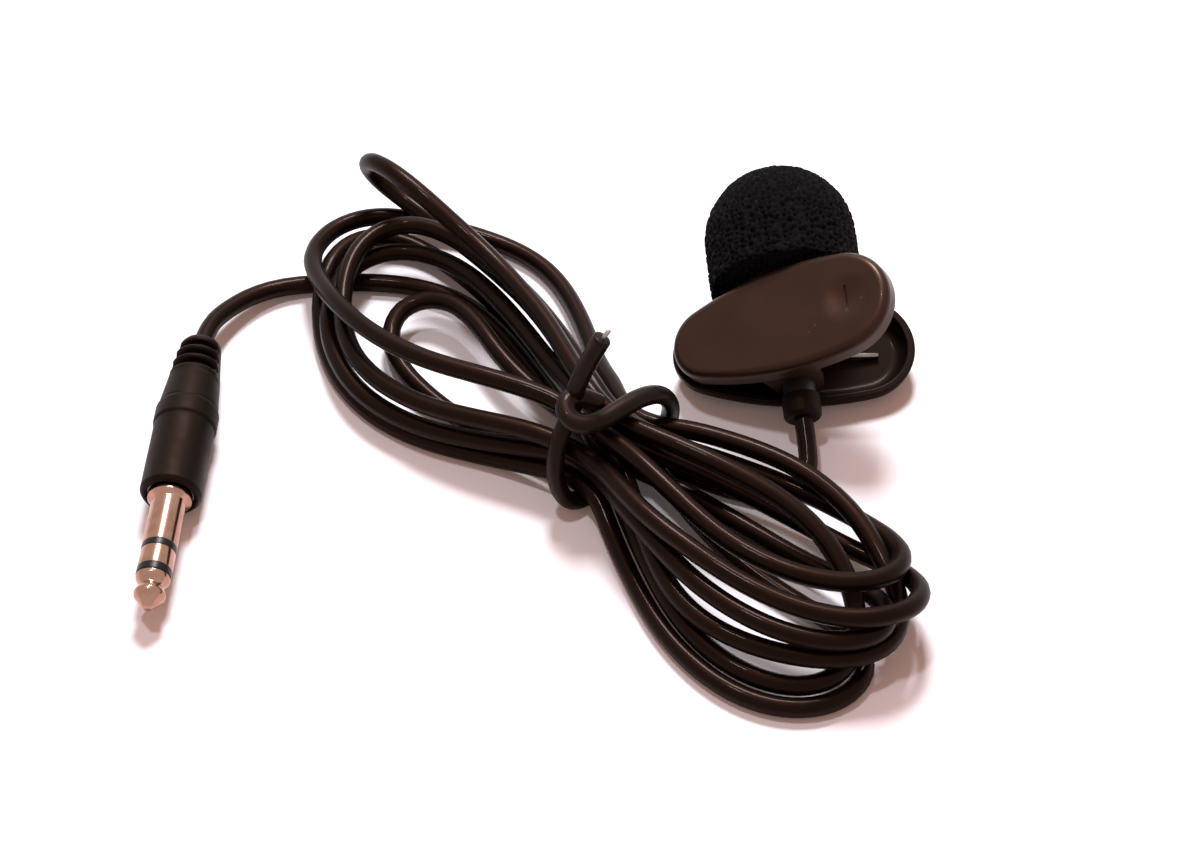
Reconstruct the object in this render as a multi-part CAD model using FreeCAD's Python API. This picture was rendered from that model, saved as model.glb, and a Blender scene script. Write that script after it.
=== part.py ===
import FreeCAD, Part
import math
import os

from FreeCAD import Vector

# Lavalier microphone: foam-covered head on a sprung tie clip, its cord wound in a tied hank,
# and a 3.5 mm plug. The head is drawn square to itself and then laid down as it rests: X along
# the clip with the thumb end at +X, Y along the stem towards the foam, Z up. Sizes are in millimetres.

# Clip base, a shallow dish
base_length = 25.8
base_thumb_radius = 5.9
base_nose_radius = 4.2
base_side_radius = 34.0
rim_height = 3.0
rim_wall = 0.9
rim_round = 0.25
floor_thickness = 1.2
bottom_round = 2.6
floor_round = 1.5

# Stem of the head, which is also the pin of the hinge
stem_x = -0.3
stem_height = 5.0
stem_radius = 1.7
stem_bore_radius = 1.15
hinge_clearance = 0.05
press_clearance = 0.02

# Ears: the base's pair stands inside the lever's pair
base_ear_inner = 2.9
base_ear_thickness = 1.1
base_ear_radius = 2.5
ear_gap = 0.1
lever_ear_thickness = 0.9
lever_ear_radius = 2.65
lever_ear_web_front = 3.3
lever_ear_web_back = 2.9

# Lever, a shell whose rim lies above the stem
lever_angle = 29.5
lever_rise = 3.95
lever_back = 11.35
lever_front = 13.1
lever_thumb_radius = 5.5
lever_nose_radius = 4.1
lever_side_radius = 34.0
lever_depth = 2.2
lever_roof = 1.0
lever_wall = 1.1
lever_top_round = 0.9
nose_gap = 0.15

# Thumb dimple with its slit, measured from the thumb end of the lever
dimple_from_end = 4.6
dimple_radius = 2.9
dimple_depth = 0.5
slit_length = 3.4
slit_width = 0.3
slit_depth = 0.3

# Torsion spring on the stem
spring_wire_radius = 0.325
spring_play = 0.2
spring_turns_between_legs = 3
spring_pitch = 1.2
spring_near_end = -0.56
spring_leg_length = 9.6
spring_upper_leg_length = 9.3
spring_seat_gap = 0.03

# Gland at the cord end of the stem
gland_radius = 2.0
gland_length = 2.5
gland_overlap = 1.2
gland_round = 0.5
gland_standoff = 0.15

# Cup of the head and its grille
cup_standoff = 0.35
cup_radius = 4.3
cup_wall = 0.7
cup_back_wall = 1.0
cup_length = 6.5
cup_round = 0.5
grille_thickness = 0.6
grille_spigot = 0.6
grille_hole_radius = 0.45
grille_hole_circle = 2.2
grille_hole_count = 6
felt_thickness = 0.5

# Electret capsule, from its front to its back
can_radius = 3.0
can_length = 3.0
can_wall = 0.25
can_front_wall = 0.3
can_hole_radius = 0.5
crimp_thickness = 0.2
crimp_reach = 0.5
diaphragm_ring_thickness = 0.35
diaphragm_ring_inner = 2.3
diaphragm_thickness = 0.05
spacer_thickness = 0.08
back_plate_thickness = 0.4
back_plate_hole_radius = 0.3
back_plate_hole_circle = 1.2
back_plate_hole_count = 4
chamber_wall = 0.4
gate_ring_wall = 0.33
board_thickness = 0.5
fet_length = 1.4
fet_width = 1.1
fet_height = 0.6
inner_gap = 0.02
sleeve_back_cover = 0.15

# Cord inside the head and its leads
cord_radius = 1.0
ferrule_wall = 0.4
ferrule_length = 0.6
cord_tail = 0.65
lead_radius = 0.2
lead_spread = 0.45

# Foam windscreen
foam_radius = 8.1
foam_standoff = 0.175
foam_length = 13.7
foam_edge_round = 0.3
foam_clearance = 0.2

# Hank of cord, tied at its waist; u runs along it towards the right lobe, v across it.
# Each lobe is a fan of arcs from an inner to an outer one, given as centre u, centre v and radius.
hank_x = -22.6
hank_y = -17.9
hank_angle = -45.0
hank_turns = 6.5
hank_layers = 4
layer_step = 2.65
waist_inner = 0.55
waist_fan = 4.7
left_inner_lobe = (-26.5, 1.5, 4.6)
left_outer_lobe = (-29.0, 5.2, 14.2)
right_inner_lobe = (25.0, -0.5, 6.5)
right_outer_lobe = (23.0, -1.5, 13.0)
hank_start_u = 10.6
hank_start_v = 7.4
hank_start_slope = 17.0
hank_end_angle = 112.0
hank_straight = 2.0

# Free stretches of cord: lengths of their first and last runs, and two places round the left lobe in u and v
exit_run = 3.8
exit_height = 0.35
plug_run = 8.0
shoulder_run = 6.0
shoulder_place = (-47.2, 8.6)
side_place = (-49.0, 0.6)

# Twist tie round the waist
tie_radius = 0.9
tie_core_radius = 0.3
tie_clearance = 0.25
tie_bend_radius = 1.85
tie_slant = 3.6
tie_knot_u = -2.2
tie_knot_v = 1.6
tie_wrap = 2.1
tie_free_height = 8.5
tie_bare_end = 2.0

# Plug, from the cord end of its strain relief to its tip
plug_x = -62.6
plug_y = 1.9
plug_heading = 262.1
relief_end_radius = 2.15
relief_length = 5.4
relief_front_radius = 2.7
relief_slot_count = 3
relief_slot_width = 0.6
relief_slot_depth = 0.75
relief_slot_first = 1.1
relief_slot_pitch = 1.4
shell_shoulder = 9.3
bead_radius = 3.3
bead_length = 2.2
shell_radius = 3.15
shell_length = 20.5
shell_edge = 0.3
contact_length = 14.0
contact_radius = 1.75
collar_radius = 2.25
collar_thickness = 0.5
collar_taper = 0.4
shank_radius = 1.95
tip_length = 3.9
tip_nose_radius = 0.45
tip_shoulder = 1.6
tip_neck_at = 2.7
tip_neck_radius = 1.25
insulator_width = 0.65
ring_width = 2.3
sleeve_inner_radius = 1.3
ring_tube_radius = 1.1
ring_tube_inner_radius = 0.8
tip_rod_radius = 0.5
tail_step = 1.6
core_radius = 2.4
core_length = 6.0
crimp_radius = 1.5
crimp_length = 2.5

# Places worked out from the sizes above
lever_length = lever_back + lever_front
lever_middle = (lever_front - lever_back) / 2.0
inner_radius = can_radius - can_wall - inner_gap


def side_centre(length, thumb_r, nose_r, side_r):
    """Centre of the +y side arc of an egg outline: it touches both end circles from outside in."""
    thumb_x = length / 2.0 - thumb_r
    nose_x = -length / 2.0 + nose_r
    span = thumb_x - nose_x
    to_thumb = side_r - thumb_r
    to_nose = side_r - nose_r
    x = nose_x + (to_nose ** 2 - to_thumb ** 2 + span ** 2) / (2.0 * span)
    y = -math.sqrt(to_nose ** 2 - (x - nose_x) ** 2)
    return x, y


def half_width(length, thumb_r, nose_r, side_r):
    """Largest half width of an egg outline."""
    return side_r + side_centre(length, thumb_r, nose_r, side_r)[1]


base_half_width = half_width(base_length, base_thumb_radius, base_nose_radius, base_side_radius)
gland_root = -base_half_width - gland_standoff
gland_end = gland_root - gland_length
cup_back = base_half_width + cup_standoff
cup_floor = cup_back + cup_back_wall
cup_front = cup_back + cup_length
grille_front = cup_front + grille_thickness
felt_front = cup_front - grille_spigot
can_front = felt_front - felt_thickness
can_back = can_front - can_length
board_back = can_back + crimp_thickness + inner_gap
board_front = board_back + board_thickness
cord_inner_end = cup_floor + cord_tail
foam_end = base_half_width + foam_standoff
foam_centre = foam_end + foam_length - foam_radius


def resting_tilt():
    """Angle at which the dish's rounded bottom edge and the foam's rounded end both touch the table."""
    along = base_half_width - bottom_round + foam_end + foam_edge_round
    drop = foam_radius - stem_height - foam_edge_round + bottom_round
    return math.atan2(drop, along) - math.asin((bottom_round - foam_edge_round) / math.hypot(along, drop))


tilt = resting_tilt()
head_z = (base_half_width - bottom_round) * math.sin(tilt) + bottom_round * (1.0 - math.cos(tilt))
head_front = foam_centre * math.cos(tilt) - stem_height * math.sin(tilt) + foam_radius
head_back = gland_end * math.cos(tilt) - (stem_height + gland_radius) * math.sin(tilt)
head_y = -(head_front + head_back) / 2.0


def lay_down(shape):
    """Turns a piece of the head from its own square frame to the way it rests."""
    shape.rotate(Vector(0, 0, 0), Vector(1, 0, 0), math.degrees(tilt))
    shape.translate(Vector(0, head_y, head_z))
    return shape


def laid_point(x, y, z):
    """Where a point of the head's own frame lies at rest."""
    c = math.cos(tilt)
    s = math.sin(tilt)
    return Vector(x, y * c - z * s + head_y, y * s + z * c + head_z)


# Shared shapes

def egg_wire(length, thumb_r, nose_r, side_r, inset=0.0, z=0.0):
    """Outline of two end circles joined by long side arcs, drawn in from its edge by inset."""
    cx, cy = side_centre(length, thumb_r, nose_r, side_r)
    thumb_x = length / 2.0 - thumb_r
    nose_x = -length / 2.0 + nose_r
    at_thumb = math.atan2(-cy, thumb_x - cx)
    at_nose = math.atan2(-cy, nose_x - cx)
    thumb_in = thumb_r - inset
    nose_in = nose_r - inset
    side_in = side_r - inset

    def on(x, y, radius, angle):
        return Vector(x + radius * math.cos(angle), y + radius * math.sin(angle), z)

    middle = (at_thumb + at_nose) / 2.0
    thumb_up = on(thumb_x, 0, thumb_in, at_thumb)
    thumb_down = on(thumb_x, 0, thumb_in, -at_thumb)
    nose_up = on(nose_x, 0, nose_in, at_nose)
    nose_down = on(nose_x, 0, nose_in, -at_nose)
    edges = [
        Part.Arc(thumb_down, on(thumb_x, 0, thumb_in, 0), thumb_up).toShape(),
        Part.Arc(thumb_up, on(cx, cy, side_in, middle), nose_up).toShape(),
        Part.Arc(nose_up, on(nose_x, 0, nose_in, math.pi), nose_down).toShape(),
        Part.Arc(nose_down, on(cx, -cy, side_in, -middle), thumb_down).toShape(),
    ]
    return Part.Wire(edges)


def prism(wire, height):
    """Solid over a flat outline."""
    return Part.Face(wire).extrude(Vector(0, 0, height))


def round_level(shape, z, radius):
    """Rounds every edge that lies flat at height z."""
    edges = [e for e in shape.Edges if abs(e.BoundBox.ZMin - z) < 1e-4 and abs(e.BoundBox.ZMax - z) < 1e-4]
    return shape.makeFillet(radius, edges)


def round_station(shape, y, radius):
    """Rounds every edge that lies square to the stem at y."""
    edges = [e for e in shape.Edges if abs(e.BoundBox.YMin - y) < 1e-4 and abs(e.BoundBox.YMax - y) < 1e-4]
    return shape.makeFillet(radius, edges)


def rod(radius, y0, y1, x=0.0, z=0.0):
    """Round bar along the stem, from y0 to y1, beside its axis by x and z."""
    return Part.makeCylinder(radius, y1 - y0, Vector(stem_x + x, y0, stem_height + z), Vector(0, 1, 0))


def ring(outer, inner, y0, y1):
    """Round washer or tube round the stem's axis."""
    return rod(outer, y0, y1).cut(rod(inner, y0 - 1.0, y1 + 1.0))


def ear(radius, y0, y1, foot):
    """Plate round the stem from y0 to y1: a circle with a web to the foot's points, offsets in x and z."""
    web_points = [Vector(stem_x + dx, y0, stem_height + dz) for dx, dz in foot]
    web = Part.Face(Part.makePolygon(web_points + web_points[:1])).extrude(Vector(0, y1 - y0, 0))
    return rod(radius, y0, y1).fuse(web)


def bar(start, end, radius):
    """Round bar between two points."""
    along = end - start
    return Part.makeCylinder(radius, along.Length, start, along)


# Paths made of arcs and straight runs

def arc_from(start, heading, end):
    """Arc that leaves start along heading and ends at end, or a line where they are in line."""
    chord = end - start
    side = heading - chord * (heading.dot(chord) / chord.dot(chord))
    if side.Length < 1e-6:
        return Part.LineSegment(start, end).toShape()
    angle = heading.getAngle(chord)
    side.normalize()
    middle = (start + end) * 0.5 + side * (chord.Length / 2.0 * math.tan(angle / 2.0))
    return Part.Arc(start, middle, end).toShape()


def biarc(start, start_heading, end, end_heading, ratio=1.0):
    """Two arcs that meet smoothly; ratio is the second tangent length over the first."""
    gap = end - start
    a = 2.0 * ratio * (1.0 - start_heading.dot(end_heading))
    b = 2.0 * gap.dot(start_heading + end_heading * ratio)
    c = -gap.dot(gap)
    if abs(a) < 1e-9:
        first = -c / b
    else:
        first = (-b + math.sqrt(b * b - 4.0 * a * c)) / (2.0 * a)
    second = ratio * first
    corner_a = start + start_heading * first
    corner_b = end - end_heading * second
    joint = (corner_a * second + corner_b * first) * (1.0 / (first + second))
    middle_heading = corner_b - corner_a
    middle_heading.normalize()
    return [arc_from(start, start_heading, joint), arc_from(joint, middle_heading, end)]


def round_tube(edges, radius, heading):
    """Solid of a round section carried along a smooth path that starts along heading."""
    path = Part.Wire(edges)
    start = edges[0].valueAt(edges[0].FirstParameter)
    section = Part.Wire([Part.Circle(start, heading, radius).toShape()])
    return path.makePipeShell([section], True, False)


def route_edges(points, bend_radius=None, name=None):
    """Straight runs with tangent arcs at the corners: as large as the runs allow, or of the given radius."""
    edges = []
    radii = []
    at = points[0]
    for before, corner, after in zip(points, points[1:], points[2:]):
        into = corner - before
        out = after - corner
        shorter = min(into.Length, out.Length)
        half_turn = into.getAngle(out) / 2.0
        radius = bend_radius or 0.45 * shorter / math.tan(half_turn)
        cut = radius * math.tan(half_turn)
        radii.append(radius)
        into.normalize()
        out.normalize()
        first = corner - into * cut
        last = corner + out * cut
        edges.append(Part.LineSegment(at, first).toShape())
        edges.append(arc_from(first, into, last))
        at = last
    edges.append(Part.LineSegment(at, points[-1]).toShape())
    if name:
        print(name, "radii", " ".join("%.1f" % r for r in radii))
    return edges


def heading_of(a, b):
    """Unit direction from a to b."""
    way = b - a
    way.normalize()
    return way


def least_gap(edges, diameter, skip):
    """Least gap of a tube to itself, on points along its path that are more than skip apart along it."""
    step = 0.7
    marks = []
    run = 0.0
    for edge in edges:
        count = max(2, int(edge.Length / step))
        for i in range(count):
            share = edge.FirstParameter + (edge.LastParameter - edge.FirstParameter) * i / count
            p = edge.valueAt(share)
            marks.append((run + edge.Length * i / count, p.x, p.y, p.z))
        run += edge.Length
    least = 1e9
    for i, (s0, x0, y0, z0) in enumerate(marks):
        for s1, x1, y1, z1 in marks[i + 1:]:
            if s1 - s0 > skip and abs(x1 - x0) < 5.0 and abs(y1 - y0) < 5.0:
                least = min(least, math.sqrt((x1 - x0) ** 2 + (y1 - y0) ** 2 + (z1 - z0) ** 2))
    return least - diameter


# The clip

def clip_base():
    """Dish with a rounded bottom, a rim and two ears bored for the stem."""
    sizes = (base_length, base_thumb_radius, base_nose_radius, base_side_radius)
    outside = round_level(prism(egg_wire(*sizes), rim_height), 0.0, bottom_round)
    hollow_wire = egg_wire(*sizes, inset=rim_wall, z=floor_thickness)
    hollow = round_level(prism(hollow_wire, rim_height), floor_thickness, floor_round)
    dish = round_level(outside.cut(hollow), rim_height, rim_round)
    foot = [
        (-base_ear_radius, 0.0),
        (-base_ear_radius, floor_thickness - stem_height - rim_round),
        (base_ear_radius, floor_thickness - stem_height - rim_round),
        (base_ear_radius, 0.0),
    ]
    for side in (-1.0, 1.0):
        near = side * base_ear_inner
        far = side * (base_ear_inner + base_ear_thickness)
        dish = dish.fuse(ear(base_ear_radius, min(near, far), max(near, far), foot))
    return dish.cut(rod(stem_radius + press_clearance, -base_half_width, base_half_width))


def lever_turned(shape):
    """Puts the lever, drawn level with its hinge at the stem's axis, at its resting angle."""
    shape.rotate(Vector(stem_x, 0, stem_height), Vector(0, 1, 0), -lever_angle)
    return shape


def clip_lever():
    """Shell with a hollow underside, a thumb dimple, two ears round the stem and a flat bite at the nose."""
    sizes = (lever_length, lever_thumb_radius, lever_nose_radius, lever_side_radius)
    middle = Vector(stem_x + lever_middle, 0, 0)
    rim = stem_height + lever_rise
    top = rim + lever_depth
    outer_wire = egg_wire(*sizes, z=rim)
    outer_wire.translate(middle)
    shell = round_level(prism(outer_wire, lever_depth), top, lever_top_round)
    inner_wire = egg_wire(*sizes, inset=lever_wall, z=rim - 1.0)
    inner_wire.translate(middle)
    shell = shell.cut(prism(inner_wire, lever_depth - lever_roof + 1.0))
    ear_inner = base_ear_inner + base_ear_thickness + ear_gap
    web_top = lever_rise + lever_depth - lever_roof + 0.2
    foot = [
        (-lever_ear_radius, 0.0),
        (-lever_ear_web_back, web_top),
        (lever_ear_web_front, web_top),
        (lever_ear_radius, 0.0),
    ]
    for side in (-1.0, 1.0):
        near = side * ear_inner
        far = side * (ear_inner + lever_ear_thickness)
        shell = shell.fuse(ear(lever_ear_radius, min(near, far), max(near, far), foot))
    shell = shell.cut(rod(stem_radius + hinge_clearance, -base_half_width, base_half_width))
    dimple_x = stem_x + lever_front - dimple_from_end
    ball = (dimple_radius ** 2 + dimple_depth ** 2) / (2.0 * dimple_depth)
    shell = shell.cut(Part.makeSphere(ball, Vector(dimple_x, 0, top - dimple_depth + ball)))
    slit_corner = Vector(dimple_x - slit_width / 2.0, -slit_length / 2.0, top - dimple_depth - slit_depth)
    shell = shell.cut(Part.makeBox(slit_width, slit_length, dimple_depth + slit_depth, slit_corner))
    shell = lever_turned(shell)
    below = Vector(-base_length, -base_length / 2.0, rim_height + nose_gap - base_length)
    nose_block = Part.makeBox(base_length - lever_ear_web_back * 1.5, base_length, base_length, below)
    return shell.cut(nose_block)


def clip_spring():
    """Torsion spring: turns round the stem, one leg on the floor of the dish, one under the lever's roof."""
    coil = stem_radius + spring_play + spring_wire_radius
    to_floor = stem_height - floor_thickness - spring_wire_radius - spring_seat_gap
    reach = math.hypot(coil, spring_leg_length)
    down_slope = math.asin(to_floor / reach) - math.atan2(coil, spring_leg_length)
    to_roof = lever_rise + lever_depth - lever_roof - spring_wire_radius - spring_seat_gap
    upper_reach = math.hypot(coil, spring_upper_leg_length)
    up_slope = math.asin(to_roof / upper_reach) - math.atan2(coil, spring_upper_leg_length)
    first = math.pi / 2.0 + math.radians(lever_angle) + up_slope
    last = -math.pi / 2.0 - down_slope + 2.0 * math.pi * spring_turns_between_legs
    quarters = int(math.ceil((last - first) / (math.pi / 2.0)))
    far_end = spring_near_end + spring_pitch * (last - first) / (2.0 * math.pi)

    def on_coil(k):
        angle = first + (last - first) * k / quarters
        y = far_end + (spring_near_end - far_end) * k / quarters
        place = Vector(stem_x + coil * math.cos(angle), y, stem_height + coil * math.sin(angle))
        rise = 0.0 if k in (0, quarters) else -spring_pitch / (2.0 * math.pi * coil)
        heading = Vector(-math.sin(angle), rise, math.cos(angle))
        heading.normalize()
        return place, heading

    knots = [on_coil(k) for k in range(quarters + 1)]
    start, start_heading = knots[0]
    end, end_heading = knots[-1]
    tip = start - start_heading * spring_upper_leg_length
    edges = [Part.LineSegment(tip, start).toShape()]
    for (a, a_heading), (b, b_heading) in zip(knots, knots[1:]):
        edges += biarc(a, a_heading, b, b_heading)
    edges.append(Part.LineSegment(end, end + end_heading * spring_leg_length).toShape())
    gap = least_gap(edges[1:-1], 2.0 * spring_wire_radius, 3.0 * coil)
    print("spring turns %.2f, least gap %.2f" % ((last - first) / (2.0 * math.pi), gap))
    return round_tube(edges, spring_wire_radius, start_heading)


# The head

def head_housing():
    """Cup for the capsule, moulded in one with the hollow stem."""
    cup = round_station(rod(cup_radius, cup_back, cup_front), cup_back, cup_round)
    cup = cup.cut(rod(cup_radius - cup_wall, cup_floor, cup_front + 1.0))
    stem = rod(stem_radius, gland_root - gland_overlap, cup_back + cup_back_wall / 2.0)
    return cup.fuse(stem).cut(rod(stem_bore_radius, gland_end, cup_floor + 0.5))


def cord_gland():
    """Collar bonded over the end of the stem, with a close bore for the cord."""
    collar = round_station(rod(gland_radius, gland_end, gland_root), gland_end, gland_round)
    seat = gland_root - gland_overlap - inner_gap
    collar = collar.cut(rod(stem_radius + press_clearance, seat, gland_root + 1.0))
    return collar.cut(rod(cord_radius + press_clearance, gland_end - 1.0, seat + 1.0))


def head_grille():
    """Cap with a ring of sound holes and a spigot inside the cup."""
    cap = round_station(rod(cup_radius, cup_front, grille_front), grille_front, grille_thickness / 2.0)
    spigot_radius = cup_radius - cup_wall - press_clearance
    cap = cap.fuse(ring(spigot_radius, spigot_radius - cup_wall, felt_front, cup_front + 0.1))
    cap = cap.cut(rod(grille_hole_radius, felt_front, grille_front + 1.0))
    for k in range(grille_hole_count):
        turn = 2.0 * math.pi * k / grille_hole_count
        x = grille_hole_circle * math.cos(turn)
        z = grille_hole_circle * math.sin(turn)
        cap = cap.cut(rod(grille_hole_radius, felt_front, grille_front + 1.0, x, z))
    return cap


def capsule_can():
    """Drawn cup with a sound hole and its open end crimped in over the board."""
    can = ring(can_radius, can_radius - can_wall, can_back, can_front)
    front = ring(can_radius, can_hole_radius, can_front - can_front_wall, can_front)
    crimp = ring(can_radius, can_radius - can_wall - crimp_reach, can_back, can_back + crimp_thickness)
    return can.fuse(front).fuse(crimp)


def capsule_stack():
    """Pieces inside the can, from the front: name and solid."""
    pieces = {}
    y = can_front - can_front_wall - inner_gap
    pieces["diaphragm_ring"] = ring(inner_radius, diaphragm_ring_inner, y - diaphragm_ring_thickness, y)
    y -= diaphragm_ring_thickness
    pieces["diaphragm"] = rod(inner_radius, y - diaphragm_thickness, y)
    y -= diaphragm_thickness
    spacer_bore = diaphragm_ring_inner - chamber_wall / 2.0
    pieces["diaphragm_spacer"] = ring(inner_radius, spacer_bore, y - spacer_thickness, y)
    y -= spacer_thickness
    chamber_bore = inner_radius - chamber_wall
    pieces["insulator_ring"] = ring(inner_radius, chamber_bore, board_front, y)
    plate_radius = chamber_bore - inner_gap
    plate = rod(plate_radius, y - back_plate_thickness, y)
    for k in range(back_plate_hole_count):
        turn = 2.0 * math.pi * k / back_plate_hole_count
        x = back_plate_hole_circle * math.cos(turn)
        z = back_plate_hole_circle * math.sin(turn)
        plate = plate.cut(rod(back_plate_hole_radius, y - 1.0, y + 1.0, x, z))
    pieces["back_plate"] = plate
    gate_front = y - back_plate_thickness
    pieces["gate_ring"] = ring(plate_radius, plate_radius - gate_ring_wall, board_front, gate_front)
    pieces["capsule_board"] = rod(inner_radius, board_back, board_front)
    fet_corner = Vector(stem_x - fet_length / 2.0, board_front, stem_height - fet_width / 2.0)
    pieces["capsule_fet"] = Part.makeBox(fet_length, fet_height, fet_width, fet_corner)
    return pieces


def capsule_sleeve():
    """Rubber sleeve between the can and the cup, with a lip behind the can."""
    outer = cup_radius - cup_wall - press_clearance
    back = can_back - sleeve_back_cover
    tube = ring(outer, can_radius + press_clearance, back, felt_front - felt_thickness)
    return tube.fuse(ring(outer, can_radius - can_wall, back, can_back - inner_gap))


def foam_windscreen():
    """Cylinder of foam with a round dome, and a blind hole that grips the cup."""
    body = round_station(rod(foam_radius, foam_end, foam_centre), foam_end, foam_edge_round)
    dome = Part.makeSphere(foam_radius, Vector(stem_x, foam_centre, stem_height), Vector(0, 1, 0), 0, 90, 360)
    hole = rod(cup_radius + foam_clearance, foam_end - 1.0, grille_front + foam_clearance)
    return body.fuse(dome).removeSplitter().cut(hole)


def head_leads():
    """Two leads from the end of the cord to the back of the board."""
    leads = {}
    for name, side in (("wire_signal", 1.0), ("wire_shield", -1.0)):
        start = Vector(stem_x + side * lead_spread, cord_inner_end, stem_height)
        end = Vector(stem_x + side * lead_spread * 2.0, board_back - inner_gap, stem_height)
        slanted = bar(start - (end - start), end + (end - start), lead_radius)
        slab = rod(cup_radius, cord_inner_end + inner_gap, board_back - inner_gap)
        leads[name] = slanted.common(slab)
    return leads


# The hank

def turn_share(p):
    """Place in the fan after p turns, from 1 outside to 0 inside and back, once for each layer."""
    s = p * hank_layers / hank_turns
    layer = min(int(s + 1e-9), hank_layers - 1)
    share = s - layer
    return 1.0 - share if layer % 2 == 0 else share


def turn_level(p):
    """Layers climbed after p turns; each climb takes the run in which the fan reverses."""
    level = 0.0
    for k in range(1, hank_layers):
        reversal = k * hank_turns / hank_layers
        start = math.floor(2.0 * reversal) / 2.0
        level += min(max((p - start) / 0.5, 0.0), 1.0)
    return level


def along_hank(u, v):
    """Row direction of a direction given along and across the hank."""
    a = math.radians(hank_angle)
    return Vector(u * math.cos(a) - v * math.sin(a), u * math.sin(a) + v * math.cos(a), 0.0)


def hank_place(u, v, z):
    """Row place of a point given along and across the hank, from its waist."""
    return Vector(hank_x, hank_y, 0.0) + along_hank(u, v) + Vector(0, 0, z)


waist_lift = 2.0 * tie_radius + tie_clearance
last_quarter = int(round(4 * hank_turns))


def lobe_arc(quarter):
    """Centre u, centre v and radius of the tip arc that the loop rounds at this quarter turn."""
    inner, outer = left_inner_lobe, left_outer_lobe
    if quarter % 4 == 0:
        inner, outer = right_inner_lobe, right_outer_lobe
    share = turn_share(quarter / 4.0)
    return tuple(a + (b - a) * share for a, b in zip(inner, outer))


def tip_way(quarter):
    """Unit direction, in u and v, from the centre of a tip arc to its knot."""
    if quarter == last_quarter:
        a = math.radians(hank_end_angle)
        return math.cos(a), math.sin(a)
    u, v, radius = lobe_arc(quarter)
    return u / math.hypot(u, v), v / math.hypot(u, v)


def waist_half(quarter):
    """Distance of a strand from the middle of the waist."""
    return waist_inner + waist_fan * turn_share(quarter / 4.0)


def hank_knot(quarter):
    """Place and heading after so many quarter turns: right tip, far waist, left tip, near waist."""
    p = quarter / 4.0
    z = cord_radius + layer_step * turn_level(p)
    if quarter % 2 == 1:
        way = 1.0 if quarter % 4 == 1 else -1.0
        rise = layer_step * (turn_level(p + 0.25) - turn_level(p - 0.25))
        run = right_outer_lobe[0] - left_outer_lobe[0]
        heading = along_hank(-way, 0.0) + Vector(0, 0, rise / run)
        heading.normalize()
        return hank_place(0.0, way * waist_half(quarter), z + waist_lift), heading
    u, v, radius = lobe_arc(quarter)
    du, dv = tip_way(quarter)
    return hank_place(u + radius * du, v + radius * dv, z), along_hank(-dv, du)


def tangent_ratio(tip_quarter, waist_quarter):
    """Tangent length at the waist over that at the tip, with which the tip's arc keeps its centre."""
    u, v, radius = lobe_arc(tip_quarter)
    way = 1.0 if waist_quarter % 4 == 1 else -1.0
    offset = way * v - waist_half(waist_quarter)
    sweep = (u * u + offset ** 2 - radius ** 2) / (2.0 * (radius + offset))
    waist_turn = math.asin(abs(u) / (radius + sweep))
    centre_v = way * (waist_half(waist_quarter) + sweep)
    du, dv = tip_way(tip_quarter)
    tip_turn = math.acos((dv * (centre_v - v) - du * u) / (radius + sweep))
    return sweep * math.tan(waist_turn / 2.0) / (radius * math.tan(tip_turn / 2.0))


def hank_start():
    """Place and heading of the hank's first end, on the far run towards the waist."""
    a = math.radians(hank_start_slope)
    return hank_place(hank_start_u, hank_start_v, cord_radius), along_hank(-math.cos(a), -math.sin(a))


def hank_end():
    """Place and heading of the hank's last end, on the far shoulder of the left lobe."""
    place, heading = hank_knot(last_quarter)
    return place + heading * hank_straight, heading


def hank_edges():
    """Path of the hank: a biarc for each quarter turn, with straight ends."""
    start, start_heading = hank_start()
    first = start + start_heading * hank_straight
    edges = [Part.LineSegment(start, first).toShape()]
    edges += biarc(first, start_heading, *hank_knot(1))
    for quarter in range(2, last_quarter + 1):
        if quarter % 2 == 0:
            ratio = 1.0 / tangent_ratio(quarter, quarter - 1)
        else:
            ratio = tangent_ratio(quarter - 1, quarter)
        edges += biarc(*hank_knot(quarter - 1), *hank_knot(quarter), ratio)
    edges.append(Part.LineSegment(hank_knot(last_quarter)[0], hank_end()[0]).toShape())
    return edges


def cord_hank():
    """The whole hank as one unbroken tube."""
    edges = hank_edges()
    gap = least_gap(edges, 2.0 * cord_radius, 12.0)
    tightest = min(e.Curve.Radius for e in edges if hasattr(e.Curve, "Radius"))
    length = sum(e.Length for e in edges)
    print("hank length %.1f, least gap %.2f, tightest radius %.1f" % (length, gap, tightest))
    tube = round_tube(edges, cord_radius, hank_start()[1])
    print("hank volume ratio %.4f" % (tube.Volume / (math.pi * cord_radius ** 2 * length)))
    return tube


# Free stretches of cord

def free_stretch(name, points):
    """Tube along straight runs with large arcs, its volume compared with its section times its length."""
    edges = route_edges(points, name=name)
    tube = round_tube(edges, cord_radius, heading_of(points[0], points[1]))
    length = sum(e.Length for e in edges)
    ratio = tube.Volume / (math.pi * cord_radius ** 2 * length)
    print(name, "length %.1f, volume ratio %.4f" % (length, ratio))
    return tube


def head_end_points():
    """Route from the gland down to the table and round into the hank's first run."""
    gland = laid_point(stem_x, gland_end, stem_height)
    out = laid_point(stem_x, gland_end - exit_run, stem_height)
    start, heading = hank_start()
    last = start - heading * exit_run
    first_way = -math.radians(90.0 + hank_angle)
    last_way = -math.pi + math.radians(hank_start_slope)
    middle_way = (2.0 * last_way + first_way) / 3.0
    before = last - along_hank(math.cos(middle_way), math.sin(middle_way)) * exit_run
    return [gland, out, before + Vector(0, 0, exit_height), last, start]


def plug_place(along):
    """Row place of a point on the plug's axis, measured from the cord end of its strain relief."""
    a = math.radians(plug_heading)
    return Vector(plug_x + along * math.cos(a), plug_y + along * math.sin(a), bead_radius)


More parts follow.
